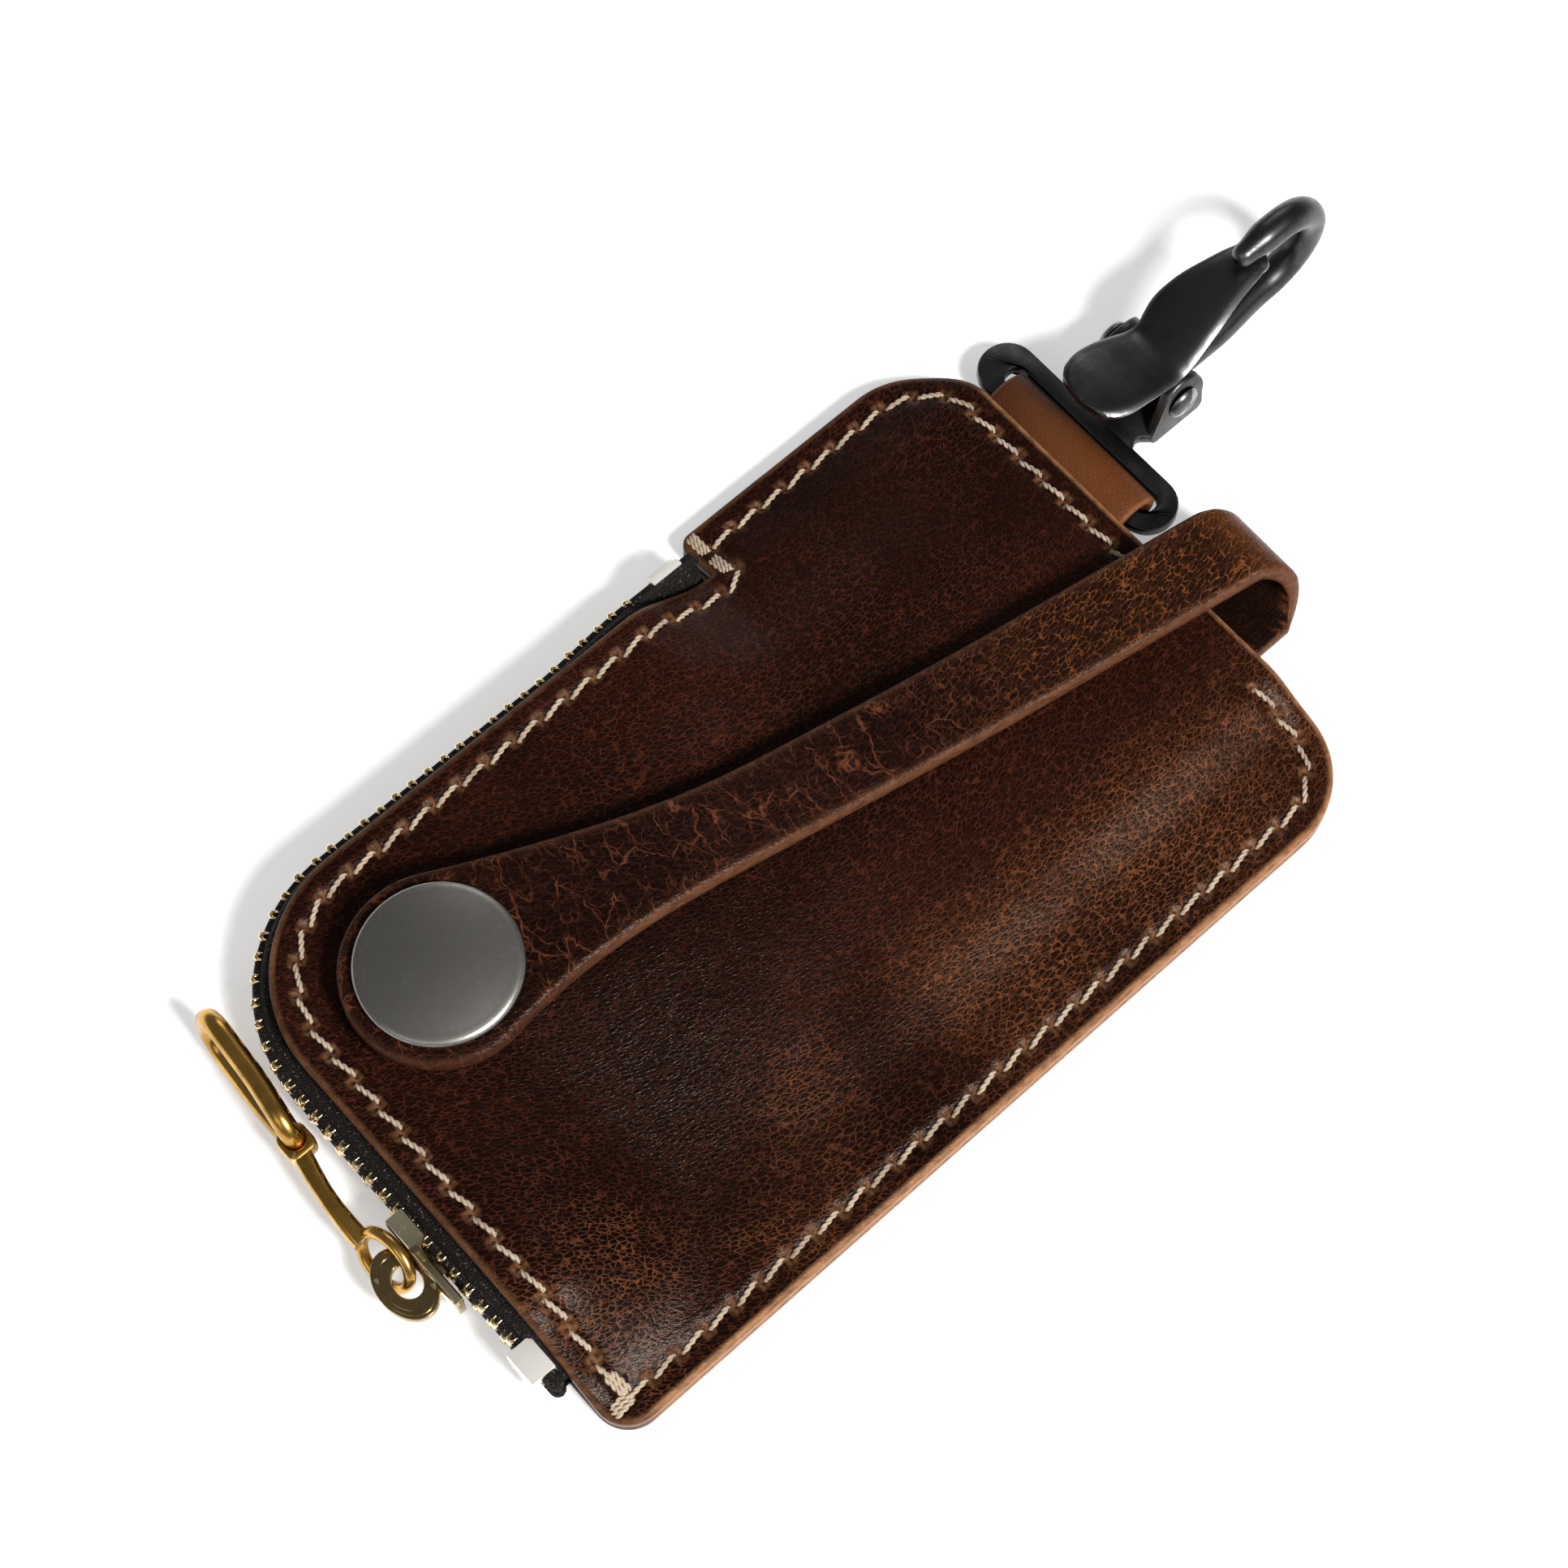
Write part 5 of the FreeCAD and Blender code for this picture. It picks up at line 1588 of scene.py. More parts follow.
@dataclass(frozen=True)
class ZipLine:
    """Line of the zip round the end, the corner and the side, at a distance outside the leather.

    Attributes:
        end_x: Leather's edge at the zip end.
        side_y: Leather's edge on the side.
        radius: Radius of the corner.
        low: Where the line starts on the end.
    """

    end_x: float = -53.5
    side_y: float = 29.8
    radius: float = 16.0
    low: float = -27.4

    @property
    def first(self) -> float:
        """Length of the straight run on the end."""
        return self.side_y - self.radius - self.low

    def at(self, share: np.ndarray | float, out: np.ndarray | float) -> tuple[np.ndarray, np.ndarray]:
        """Places along the line.

        Args:
            share: Distances along the leather's edge.
            out: Distances outside it.

        Returns:
            Plan points and ways along.
        """
        share = np.atleast_1d(np.asarray(share, dtype=float))
        bend = np.clip((share - self.first) / self.radius, 0, math.pi / 2)
        middle = np.array([self.end_x + self.radius, self.side_y - self.radius])
        run_low = np.minimum(share - self.first, 0)
        run_side = np.maximum(share - self.first - self.radius * math.pi / 2, 0)
        outwards = columns(-np.cos(bend), np.sin(bend))
        plan = middle + outwards * (self.radius + np.broadcast_to(out, share.shape))[:, None]
        return plan + columns(run_side, run_low), columns(np.sin(bend), np.cos(bend))

    def side(self, x: float) -> float:
        """Distance along the edge of a place on the side."""
        return self.first + self.radius * math.pi / 2 + x - self.end_x - self.radius


@dataclass
class Zip:
    """Tapes, teeth and stops of the zip.

    Attributes:
        panels: Panels that it joins.
        line: Where it runs.
        chain_z: Height of the middle of the teeth.
        out: How far outside the leather the teeth run on the end.
        side_out: How far outside the leather the teeth run on the side.
        step_out: How much further out they run near the step.
        pitch: Distance between the teeth of a row.
        uneven: Random turn of a tooth in radians.
        teeth_low: Where the teeth start on the end.
        teeth_side: Where they end on the side.
        tape_side: Where the tapes end on the side.
        tape_half: Half of the tapes' thickness.
        cord: Radius of their corded edge.
        clasp: Height of that edge over the middle of the teeth.
        stop_height: Half of the stops' height.
        tooth_sections: Height, half length and half depth up one tooth.
        tape_steps: Share of the way out to the teeth, or millimetres inwards where below 0, and
            share of the height, from the leather down one tape.
    """

    panels: CasePanels
    line: ZipLine = field(default_factory=ZipLine)
    chain_z: float = 5.45
    out: float = 1.5
    side_out: float = 1.05
    step_out: float = 0.8
    pitch: float = 2.2
    uneven: float = 0.05
    teeth_low: float = -21.6
    teeth_side: float = 9.4
    tape_side: float = 15.2
    tape_half: float = 0.17
    cord: float = 0.9
    clasp: float = 1.55
    stop_height: float = 2.68
    tooth_sections: Sequence[Point] = (
        (0.16, 0.28, 0.55), (0.3, 0.52, 0.95), (0.8, 0.56, 1.1), (1.25, 0.5, 1.05), (1.7, 0.55, 1.1),
        (2.2, 0.54, 1.0), (2.42, 0.42, 0.8), (2.4, 0.3, 0.6), (2.1, 0.22, 0.45),
    )
    tape_steps: Sequence[tuple[float, float]] = (
        (-4.4, 1.0), (-1.6, 1.0), (-0.2, 0.96), (0.45, 0.84),
        (0.75, 0.62), (0.92, 0.36), (1.0, 0.12), (1.0, 0.0),
    )

    def chain_out(self, share: np.ndarray | float) -> np.ndarray:
        """How far outside the leather the teeth run.

        Args:
            share: Distances along the leather's edge.

        Returns:
            One distance for each.
        """
        turned = smooth((share - self.line.first) / (self.line.radius * math.pi / 2))
        by_step = smooth((share - self.line.side(-8.0)) / 14)
        return self.out + (self.side_out - self.out) * turned + self.step_out * by_step

    def tooth(self) -> Shape:
        """One tooth along X with its clasp towards Z: a rounded block with a waist and a head.

        Returns:
            Shape about the chain's middle.
        """
        cut = 0.55
        quarter = np.array([(1, cut), (cut, 1), (-cut, 1), (-1, cut)])
        along, across = np.vstack([quarter, -quarter]).T
        shape = Shape()
        shape.rings([
            columns(half * along, depth * across, height) for height, half, depth in self.tooth_sections
        ])
        return shape

    def tape(self, upper: bool) -> Shape:
        """Woven tape from under the leather down to the teeth, with a corded edge.

        Args:
            upper: Whether it is the front panel's tape.

        Returns:
            Shape of the tape.
        """
        shares = np.linspace(0, self.line.side(self.tape_side), 194)
        reach = self.chain_out(shares)
        if upper:
            edge, _ = self.line.at(shares, -0.4)
            seat, clasp = np.minimum(self.panels.inner(edge), 9.1) - 0.05, self.chain_z + self.clasp
        else:
            seat, clasp = np.full(len(shares), self.panels.leather + 0.08), self.chain_z - self.clasp
        rings = []
        for out, up in self.tape_steps:
            plan, _ = self.line.at(shares, out * reach if out > 0 else out)
            rings.append(columns(*plan.T, clasp + (seat - clasp) * up))
        rings = np.array(rings)
        normal = np.cross(np.gradient(rings, axis=0), np.gradient(rings, axis=1))
        normal = normal / np.maximum(np.linalg.norm(normal, axis=2, keepdims=True), 1e-9)
        shape = Shape()
        around = np.concatenate([rings + normal * self.tape_half, (rings - normal * self.tape_half)[::-1]])
        shape.rings(np.swapaxes(around, 0, 1))
        cord, _ = self.line.at(shares[::2], self.chain_out(shares[::2]))
        shape.tube(columns(*cord.T, clasp), self.cord, 8)
        return shape

    def stop(self, plan: np.ndarray, way: np.ndarray, length: float, half_depth: float) -> Shape:
        """Flat block crimped over both rows, with softened edges.

        Args:
            plan: Plan point where it starts.
            way: Way along the chain.
            length: Its length.
            half_depth: Half of its depth across the chain.

        Returns:
            Shape of the stop.
        """
        outline = rounded_box((-half_depth, -self.stop_height), (half_depth, self.stop_height), 0.12, 0.2)
        rings = []
        for share, inset in ((0.0, 0.08), (0.01, 0.02), (0.03, 0.0), (0.97, 0.0), (0.99, 0.02), (1.0, 0.08)):
            across, up = inset_loop(outline, inset).T
            x, y = plan + way * length * share
            rings.append(columns(x - way[1] * across, y + way[0] * across, self.chain_z + up))
        shape = Shape()
        shape.rings(rings)
        return shape

    def frayed_end(self, shape: Shape) -> None:
        """Adds the loose yarns of the tapes past the end stop.

        Args:
            shape: Shape to add them to.
        """
        count = 14
        for number in range(count):
            spread = math.sin(number * 12.9) * 0.9
            level = self.chain_z - 1.6 + 3.2 * (number / (count - 1))
            start = np.array([self.line.end_x - self.out + spread * 0.6, self.teeth_low - 3.9, level])
            bend = start + np.array([0.25 * math.cos(number * 2.3), -1.0, 0.2 * math.sin(number * 3.7)])
            end = bend + np.array([0.5 * math.cos(number * 1.7), -0.5 - 0.2 * math.sin(number * 5.1), -0.3])
            shape.tube([start, bend, end], [0.2, 0.17, 0.1], 6)

    def build(self, repeat: Repeat, brass: Material, bright: Material, cloth: Material) -> None:
        """Builds the tapes, the teeth and the stops.

        Args:
            repeat: Tree that sets the teeth.
            brass: Metal of the teeth.
            bright: Metal of the stops.
            cloth: Material of the tapes.
        """
        upper, lower = self.tape(True), self.tape(False)
        self.frayed_end(upper)
        for name, tape in (("upper", upper), ("lower", lower)):
            finish_piece(tape, f"zip_cloth_{name}", cloth, Body.CASE, Slot.TAPE, [f"zip_tape_{name}"], 60)
        first, last = self.teeth_low - self.line.low, self.line.side(self.teeth_side)
        start, end = first + 0.5, last - 0.6
        count = int((end - start) / self.pitch)
        for name, sign, shift in (("upper", 1, 0.0), ("lower", -1, self.pitch / 2)):
            shares = start + shift + np.arange(count) * self.pitch
            places = [
                ((*point, self.chain_z), Vector((*way, 0)), Vector((0, 0, sign)))
                for point, way in zip(*self.line.at(shares, self.chain_out(shares)))
            ]
            made = repeat.build(f"zip_teeth_{name}_row", self.tooth(), places, brass, self.uneven)
            settle(made, Body.CASE, Slot.ZIP, [f"zip_teeth_{name}"])
        blocks = (
            ("end", first - 4.7, self.out + 0.5, 4.1, 1.5),
            ("start", last, float(self.chain_out(last)) + 0.6, 4.0, 0.6),
        )
        for name, share, out, length, half_depth in blocks:
            plan, way = self.line.at(share, out)
            block = self.stop(plan[0], way[0], length, half_depth)
            finish_piece(block, f"zip_stop_{name}", bright, Body.CASE, Slot.ZIP, [f"zip_{name}_stop"])


def mirrored(corners: Sequence[Point]) -> list[Point]:
    """Corners and radii on one side of the long axis, then the same ones on its other side."""
    return [*corners, *((x, -y, radius) for x, y, radius in corners[::-1])]


@dataclass
class Slider:
    """Zip slider: two plates with lips round the teeth, and a flat fin with an eye.

    Attributes:
        x: Middle of the chain.
        y: Middle of the slider.
        z: Height of the middle of the chain.
        half: Half of its length.
        inner: Gap from the chain's middle to a plate.
        wall: Thickness of a plate.
        height: Half of its height at the winged end.
        waist: Half of its height at the narrow end.
        web: Half of the height of the web between the plates.
        lip_wall: Thickness of a lip.
        fin: Radius of the fin.
        fin_half: Half of the fin's thickness.
        eye: Radius of the fin's eye.
        eye_out: How far the eye lies outside the plate.
    """

    x: float = -55.0
    y: float = -9.4
    z: float = 5.45
    half: float = 5.7
    inner: float = 1.45
    wall: float = 1.1
    height: float = 3.1
    waist: float = 2.45
    web: float = 1.8
    lip_wall: float = 0.5
    fin: float = 4.4
    fin_half: float = 0.65
    eye: float = 1.5
    eye_out: float = 1.9

    def build(self, brass: Material) -> None:
        """Builds the slider.

        Args:
            brass: Its metal.
        """
        shape = Shape()
        outline = rounded_loop(mirrored([
            (-self.half, -self.waist, 0.9), (-0.6, -self.waist, 1.2),
            (1.2, -self.height, 1.2), (self.half, -self.height, 1.0),
        ]), 0.25)
        outer = self.inner + self.wall
        for low, high in ((-outer, -self.inner), (self.inner, outer)):
            shape.plate(outline, low, high, 0.28, lambda a, b, c: columns(self.x + c, self.y + a, self.z + b))
        for side, level in ((-1, -1), (-1, 1), (1, -1)):
            self.lip(shape, side, level)
        web = rounded_box((-outer, -self.web), (outer, self.web), 0.1)
        shape.plate(web, -0.15, 0.15, 0.04, lambda a, b, c: columns(self.x + a, self.y + b, self.z + c))
        self.add_fin(shape, self.x - outer)
        finish_piece(shape, "slider", brass, Body.SLIDER, Slot.ZIP, ["slider_body"], 35)

    def add_fin(self, shape: Shape, plate_x: float) -> None:
        """Adds the fin with its eye, and the raised border on its top.

        Args:
            shape: Shape to add it to.
            plate_x: Outer face of the plate that it stands on.
        """
        angles = np.linspace(0, 2 * math.pi, 64, endpoint=False)
        cos, sin = np.cos(angles), np.sin(angles)
        rim = columns(plate_x + 0.5 + self.fin * (0.68 * cos - 0.62), self.y + 0.97 * self.fin * sin)
        hole = columns(plate_x - self.eye_out + self.eye * cos, self.y + 1.25 * self.eye * sin)
        holed_plate(shape, rim, hole, self.z - self.fin_half, self.z + self.fin_half, 0.22)
        outside, inside = (rim * share + rim.mean(axis=0) * (1 - share) for share in (0.9, 0.74))
        holed_plate(shape, outside, inside, self.z + self.fin_half - 0.1, self.z + self.fin_half + 0.15, 0.1)

    def lip(self, shape: Shape, side: int, level: int) -> None:
        """Adds one lip that closes over the teeth, wider at the winged end.

        Args:
            shape: Shape to add it to.
            side: Whether it is on the outer plate, -1, or the inner one, 1.
            level: Whether it is at the bottom, -1, or the top, 1.
        """
        outer = self.inner + self.wall
        steps = (
            (-self.half + 0.2, self.waist, 1.5), (-0.4, 2.5, 1.45), (1.2, 2.8, 1.2),
            (1.9, self.height, 0.2), (self.half - 0.1, self.height, 0.2),
        )
        lift = 0.06
        rings = []
        for along, height, reach in steps:
            foot = height - self.lip_wall
            corners = [
                (reach, foot), (outer - 0.15, foot), (outer - 0.15, height - 0.08),
                (outer - 0.35, height), (reach + 0.15, height), (reach, height - 0.12),
            ]
            rings.append([
                (self.x + side * a, self.y + along, self.z + level * (b + lift)) for a, b in corners
            ])
        shape.rings(rings)


@dataclass
class Puller:
    """Bowed bar with a link through the slider's fin and an eye, and the long ring in that eye.

    Attributes:
        x: Where the fin's eye is.
        y: Where the fin's eye is.
        z: Height of both.
        link: Radius of the link.
        link_tilt: Turn of the link about the bar, in degrees.
        wire: Radius of the link's wire.
        eye: Radius of the bar's eye.
        eye_y: Middle of the bar's eye.
        eye_half: Half of the width and half of the height of the bar's end.
        ring_length: Length of the ring between the middles of its ends.
        ring_half: Half of the ring's height.
        ring_wire: Radius of the ring's wire.
        lean: How far the far end of the ring leans towards the case.
        tilt: Turn of the ring about its length, in degrees.
    """

    x: float = -59.45
    y: float = -9.4
    z: float = 5.45
    link: float = 3.3
    link_tilt: float = 28.0
    wire: float = 0.66
    eye: float = 1.12
    eye_y: float = 9.6
    eye_half: tuple[float, float] = (1.72, 1.25)
    ring_length: float = 16.3
    ring_half: float = 3.2
    ring_wire: float = 1.18
    lean: float = 1.2
    tilt: float = 7.0

    def bow(self, y: np.ndarray | float) -> np.ndarray:
        """Shift of the bar towards the case at places along it."""
        share = (y - self.y) / (self.eye_y - self.y)
        return 0.75 * share ** 2 - 0.9 * np.sin(np.clip(share, 0, 1) * math.pi)

    def build(self, brass: Material) -> None:
        """Builds the bar and the ring.

        Args:
            brass: Their metal.
        """
        shape = Shape()
        angles = np.linspace(0, 2 * math.pi, 40, endpoint=False)
        cos, sin = np.cos(angles), np.sin(angles)
        tilt = math.radians(self.link_tilt)
        along = self.y + self.link + 1.04 * self.link * cos
        across = 0.92 * self.link * sin
        aside = self.x + across * math.sin(tilt) + self.bow(along) * 0.5
        shape.tube(columns(aside, along, self.z + across * math.cos(tilt)), self.wire, 12, True)
        self.bar(shape)
        half, deep = self.eye_half
        eye_x = self.x + float(self.bow(self.eye_y))
        rim = rounded_loop([
            (eye_x - half, self.eye_y - 2.0, 0.9), (eye_x + half, self.eye_y - 2.0, 0.9),
            (eye_x + half, self.eye_y + 1.75, 1.3), (eye_x - half, self.eye_y + 1.75, 1.3),
        ], 0.2)
        hole = columns(eye_x + self.eye * cos, self.eye_y + self.eye * sin)
        holed_plate(shape, rim, hole, self.z - deep, self.z + deep, 0.35)
        finish_piece(shape, "puller", brass, Body.PULLER, Slot.PULLER, ["puller_bar"], 35)
        ring = Shape()
        ring.tube(self.ring_path(), self.ring_wire, 20, True)
        finish_piece(ring, "puller_ring_wire", brass, Body.PULL_RING, Slot.PULLER, ["puller_ring"], 60)

    def bar(self, shape: Shape) -> None:
        """Adds the bar, deepest in its middle.

        Args:
            shape: Shape to add it to.
        """
        turns = np.linspace(0, 2 * math.pi, 20, endpoint=False)
        out, up = (np.sign(wave) * np.abs(wave) ** 0.6 for wave in (np.cos(turns), np.sin(turns)))
        first, last = self.y + 2 * self.link - 0.4, self.eye_y - 1.6
        rings = []
        for share in np.linspace(0, 1, 26):
            y = first + share * (last - first)
            deep = 1.1 + 0.45 * math.sin(math.pi * share)
            wide = 1.0 + 0.1 * math.cos(math.pi * share) ** 2
            rings.append(columns(self.x + float(self.bow(y)) + wide * out, y, self.z + deep * up))
        shape.rings(rings)

    def ring_path(self) -> np.ndarray:
        """Middle of the ring's wire.

        Returns:
            Points of a closed path.
        """
        near, far = self.eye_y, self.eye_y + self.ring_length
        loop = rounded_box((near, -self.ring_half), (far, self.ring_half), self.ring_half - 0.02, 0.5)
        along, across = resampled(loop, 90).T
        share = (along - near) / (far - near)
        tilt = math.radians(self.tilt) * smooth(share * 2)
        x = self.x + float(self.bow(self.eye_y)) + self.lean * share + across * np.sin(tilt)
        return columns(x, along, self.z + across * np.cos(tilt))


# Snap cap, tab and hook


@dataclass
class SnapCap:
    """Nearly flat cap of the snap, with a rolled rim and a post.

    Attributes:
        middle: Plan point of the snap.
        low: Height of the strap's underside.
        seat: Height of the strap's top.
        radius: Radius of the cap.
        post: Radius of the post.
        roll: Distance from the rim and height over the seat, round the rolled rim.
        dome: Rise of the middle over the rim.
    """

    middle: tuple[float, float] = (-36.9, 11.4)
    low: float = 12.75
    seat: float = 14.95
    radius: float = 8.9
    post: float = 1.8
    roll: Sequence[tuple[float, float]] = (
        (0.7, 0.02), (0.25, 0.1), (0.03, 0.34), (0.0, 0.6),
        (0.08, 0.84), (0.3, 1.04), (0.62, 1.15), (1.0, 1.21),
    )
    dome: float = 0.75

    def build(self, silver: Material) -> None:
        """Builds the cap and its post.

        Args:
            silver: Its metal.
        """
        foot = self.low - self.seat
        inset, rim = self.roll[-1]
        profile = [(self.post * 0.9, foot), (self.post, foot + 0.2), (self.post, 0.0)]
        profile += [(self.radius - inwards, level) for inwards, level in self.roll]
        for share in np.linspace(0.93, 0.06, 14):
            profile.append((share * (self.radius - inset), rim + self.dome * (1 - share ** 2)))
        shape = Shape()
        shape.lathe(profile, (*self.middle, self.seat), sides=96)
        finish_piece(shape, "snap_cap_dome", silver, Body.STRAP, Slot.SNAP, ["snap_cap"], 50)


@dataclass
class HookTab:
    """Leather strip folded round the hook's bar and sewn into the case.

    Attributes:
        y: Middle of the tab.
        width: Width of the tab.
        start: Where it ends inside the case.
        bar_x: Middle of the hook's bar.
        z: Height of that bar.
        layer: Thickness of a layer.
        fold: Radius of the fold at the middle of its layer.
        fold_reach: How far the fold reaches past the bar.
        lie: Height of a layer over the middle of the tab.
    """

    y: float = 14.65
    width: float = 21.4
    start: float = 41.5
    bar_x: float = 55.8
    z: float = 3.05
    layer: float = 1.1
    fold: float = 2.25
    fold_reach: float = 2.95
    lie: float = 0.58

    def build(self, finish: Material) -> None:
        """Builds the folded strip with softened edges.

        Args:
            finish: Tab leather.
        """
        turns = np.radians(np.linspace(112, -112, 30))
        reach = np.where(np.cos(turns) > 0, self.fold_reach, self.fold)
        fold = columns(self.bar_x + reach * np.cos(turns), self.z + self.fold * np.sin(turns))
        upper = columns(np.linspace(self.start, self.bar_x - 3.2, 22), self.z + self.lie)
        upper[:, 1] += 0.35 * smooth((upper[:, 0] - self.bar_x + 6.5) / 3.3)
        lower = upper[::-1] * [1, -1] + [0, 2 * self.z]
        path = np.vstack([upper, fold, lower])
        section, edge = self.section()
        across = section[:, 0]
        rings = []
        for (x, z), (out_x, out_z) in zip(path, sideways(path)):
            sag = 0.07 * np.array([noise.noise(Vector((x / 3, a / 4, z))) for a in across])
            level = section[:, 1] * self.layer / 2 + sag
            rings.append(columns(x + out_x * level, self.y + across, z + out_z * level))
        shape = Shape()
        shape.rings(rings, edge=np.broadcast_to(edge, (len(path), len(edge))))
        finish_piece(shape, "tab_fold", finish, Body.CASE, Slot.TAB, ["hook_tab"], 70)

    def section(self) -> tuple[np.ndarray, np.ndarray]:
        """Section of the strip with round edges.

        Returns:
            Points across and up, the latter from -1 to 1, and the burnish of each.
        """
        half = self.width / 2
        flat = np.linspace(-half + 0.45, half - 0.45, 22)
        right = [(half - 0.15, 0.8), (half, 0.35), (half, -0.35), (half - 0.15, -0.8)]
        upper = np.array([(a, 1.0) for a in flat] + right)
        return np.vstack([upper, -upper]), np.array(([0.0] * len(flat) + [1.0] * len(right)) * 2)


@dataclass
class Hook:
    """Lever hook: eye plate, neck with two ears, bowed arm, rivet and bent gate lever.

    Attributes:
        y: Middle of the hook.
        plate_x: Ends of the eye plate.
        plate_half: Half of the plate's span.
        plate_round: Radius of its corners.
        slot_x: Ends of its slot.
        slot_half: Half of the slot's span.
        slot_round: Radius of the slot's corners.
        slot_shift: Shift of the slot from the hook's middle.
        plate_z: Underside and top of the plate.
        neck_half: Half of the neck's width.
        neck_end: Where the neck ends.
        ear: Thickness of an ear.
        ear_radius: Radius of its top.
        ear_low: Height of its foot.
        pivot: Place of the pivot along the hook and its height.
        flare: How far the ears' feet stand out from the neck.
        lean: How far the ears lean inwards, to the millimetre of height.
        rivet: Radius of the rivet's heads.
        arm_z: Height of the arm's root.
        arm_x: Where the root starts and where the bow starts.
        bow: Radius of the bow.
        tip_x: Where the arm's tip ends.
        flange: Radius of a flange of the lever.
        flange_y: Inner and outer face of a flange, from the hook's middle.
        lever_sides: Places along the lever, with its lower and upper side from the hook's middle.
        lever_levels: Places along the lever, with the height of its underside.
    """

    y: float = 15.6
    plate_x: tuple[float, float] = (54.7, 61.8)
    plate_half: float = 14.8
    plate_round: float = 3.5
    slot_x: tuple[float, float] = (56.9, 59.5)
    slot_half: float = 11.7
    slot_round: float = 1.1
    slot_shift: float = -0.6
    plate_z: tuple[float, float] = (2.25, 3.85)
    neck_half: float = 4.6
    neck_end: float = 73.8
    ear: float = 1.3
    ear_radius: float = 3.25
    ear_low: float = 2.3
    pivot: tuple[float, float] = (69.0, 6.0)
    flare: float = 1.6
    lean: float = 0.17
    rivet: float = 2.1
    arm_z: float = 3.4
    arm_x: tuple[float, float] = (69.6, 87.3)
    bow: float = 6.4
    tip_x: float = 82.4
    flange: float = 1.9
    flange_y: tuple[float, float] = (2.15, 3.0)
    lever_sides: Sequence[Point] = (
        (57.7, -0.7, 0.7), (58.1, -2.4, 2.7), (59.0, -3.6, 4.0), (60.6, -4.4, 4.7), (64.0, -4.8, 4.7),
        (66.5, -4.8, 4.2), (69.0, -4.75, 3.6), (70.3, -4.7, 3.5), (71.2, -4.6, 3.8), (72.6, -4.4, 4.2),
        (76.0, -3.8, 4.2), (80.4, -2.8, 3.3), (83.8, -2.2, 2.4), (85.0, -1.9, 1.9), (85.4, -1.2, 1.2),
    )
    lever_levels: Sequence[tuple[float, float]] = (
        (57.7, 11.5), (61.0, 11.25), (64.0, 10.8), (67.0, 10.05), (68.6, 9.72), (69.6, 9.76),
        (70.8, 10.2), (74.0, 11.4), (78.0, 12.3), (82.0, 12.75), (85.4, 12.75),
    )

    def build(self, steel: Material) -> None:
        """Builds the fixed part, the rivet and the lever.

        Args:
            steel: Their metal.
        """
        body = Shape()
        self.plate(body)
        self.ears(body)
        self.arm(body)
        finish_piece(body, "hook_frame", steel, Body.HOOK, Slot.HOOK, ["hook_body"], 38)
        rivet = Shape()
        reach = self.neck_half + self.flare - self.lean * (self.pivot[1] - self.ear_low)
        head = [(0.5, 0.85), (1.3, 0.8), (1.85, 0.55), (self.rivet, 0.1), (self.rivet, 0.0), (1.05, -0.02)]
        profile = [(radius, -reach - out) for radius, out in head]
        profile += [(radius, reach + out) for radius, out in head[::-1]]
        rivet.lathe(profile, (self.pivot[0], self.y, self.pivot[1]), Vector((0, 1, 0)), 36)
        finish_piece(rivet, "hook_rivet", steel, Body.HOOK, Slot.HOOK, ["hook_pivot"], 38)
        gate = Shape()
        self.lever(gate)
        self.flanges(gate)
        finish_piece(gate, "gate_lever", steel, Body.GATE, Slot.HOOK, ["hook_gate"], 42)

    def plate(self, shape: Shape) -> None:
        """Adds the eye plate and the neck.

        Args:
            shape: Shape to add them to.
        """
        rim, hole = (
            rounded_box((ends[0], middle - half), (ends[1], middle + half), radius, 0.3)
            for ends, middle, half, radius in (
                (self.plate_x, self.y, self.plate_half, self.plate_round),
                (self.slot_x, self.y + self.slot_shift, self.slot_half, self.slot_round),
            )
        )
        holed_plate(shape, rim, hole, *self.plate_z, 0.3)
        half, wide = self.neck_half, self.neck_half + self.flare - 0.3
        start, px = self.plate_x[1] - 1.2, self.pivot[0]
        neck = rounded_loop(mirrored([
            (start, -half - 0.9, 0.1), (start + 1.0, -half - 0.9, 0.6), (start + 2.4, -half, 0.9),
            (px - 4.6, -wide, 0.5), (px + 2.6, -wide, 0.5), (self.neck_end, -half + 0.9, 1.4),
        ]), 0.3)
        shape.plate(neck + [0, self.y], self.plate_z[0] + 0.02, self.plate_z[1] - 0.02, 0.3, columns)

    def ears(self, shape: Shape) -> None:
        """Adds the two ears that carry the rivet, each a plate bent up from the neck.

        Args:
            shape: Shape to add them to.
        """
        px, pz = self.pivot
        heel = arc((px - 4.0, self.ear_low + 1.0), 1.0, 180, 270, 8)
        toe = arc((px + 2.2, self.ear_low + 1.0), 1.0, 270, 360, 8)
        outline = np.vstack([heel, toe, arc((px + 0.2, pz), self.ear_radius, -20, 132, 26)])
        for side in (-1, 1):
            low, high = sorted((side * self.neck_half, side * (self.neck_half - self.ear)))
            foot, lean = self.y + side * (self.flare + self.lean * self.ear_low), side * self.lean
            shape.plate(outline, low, high, 0.28, lambda a, b, c: columns(a, foot + c - lean * b, b))

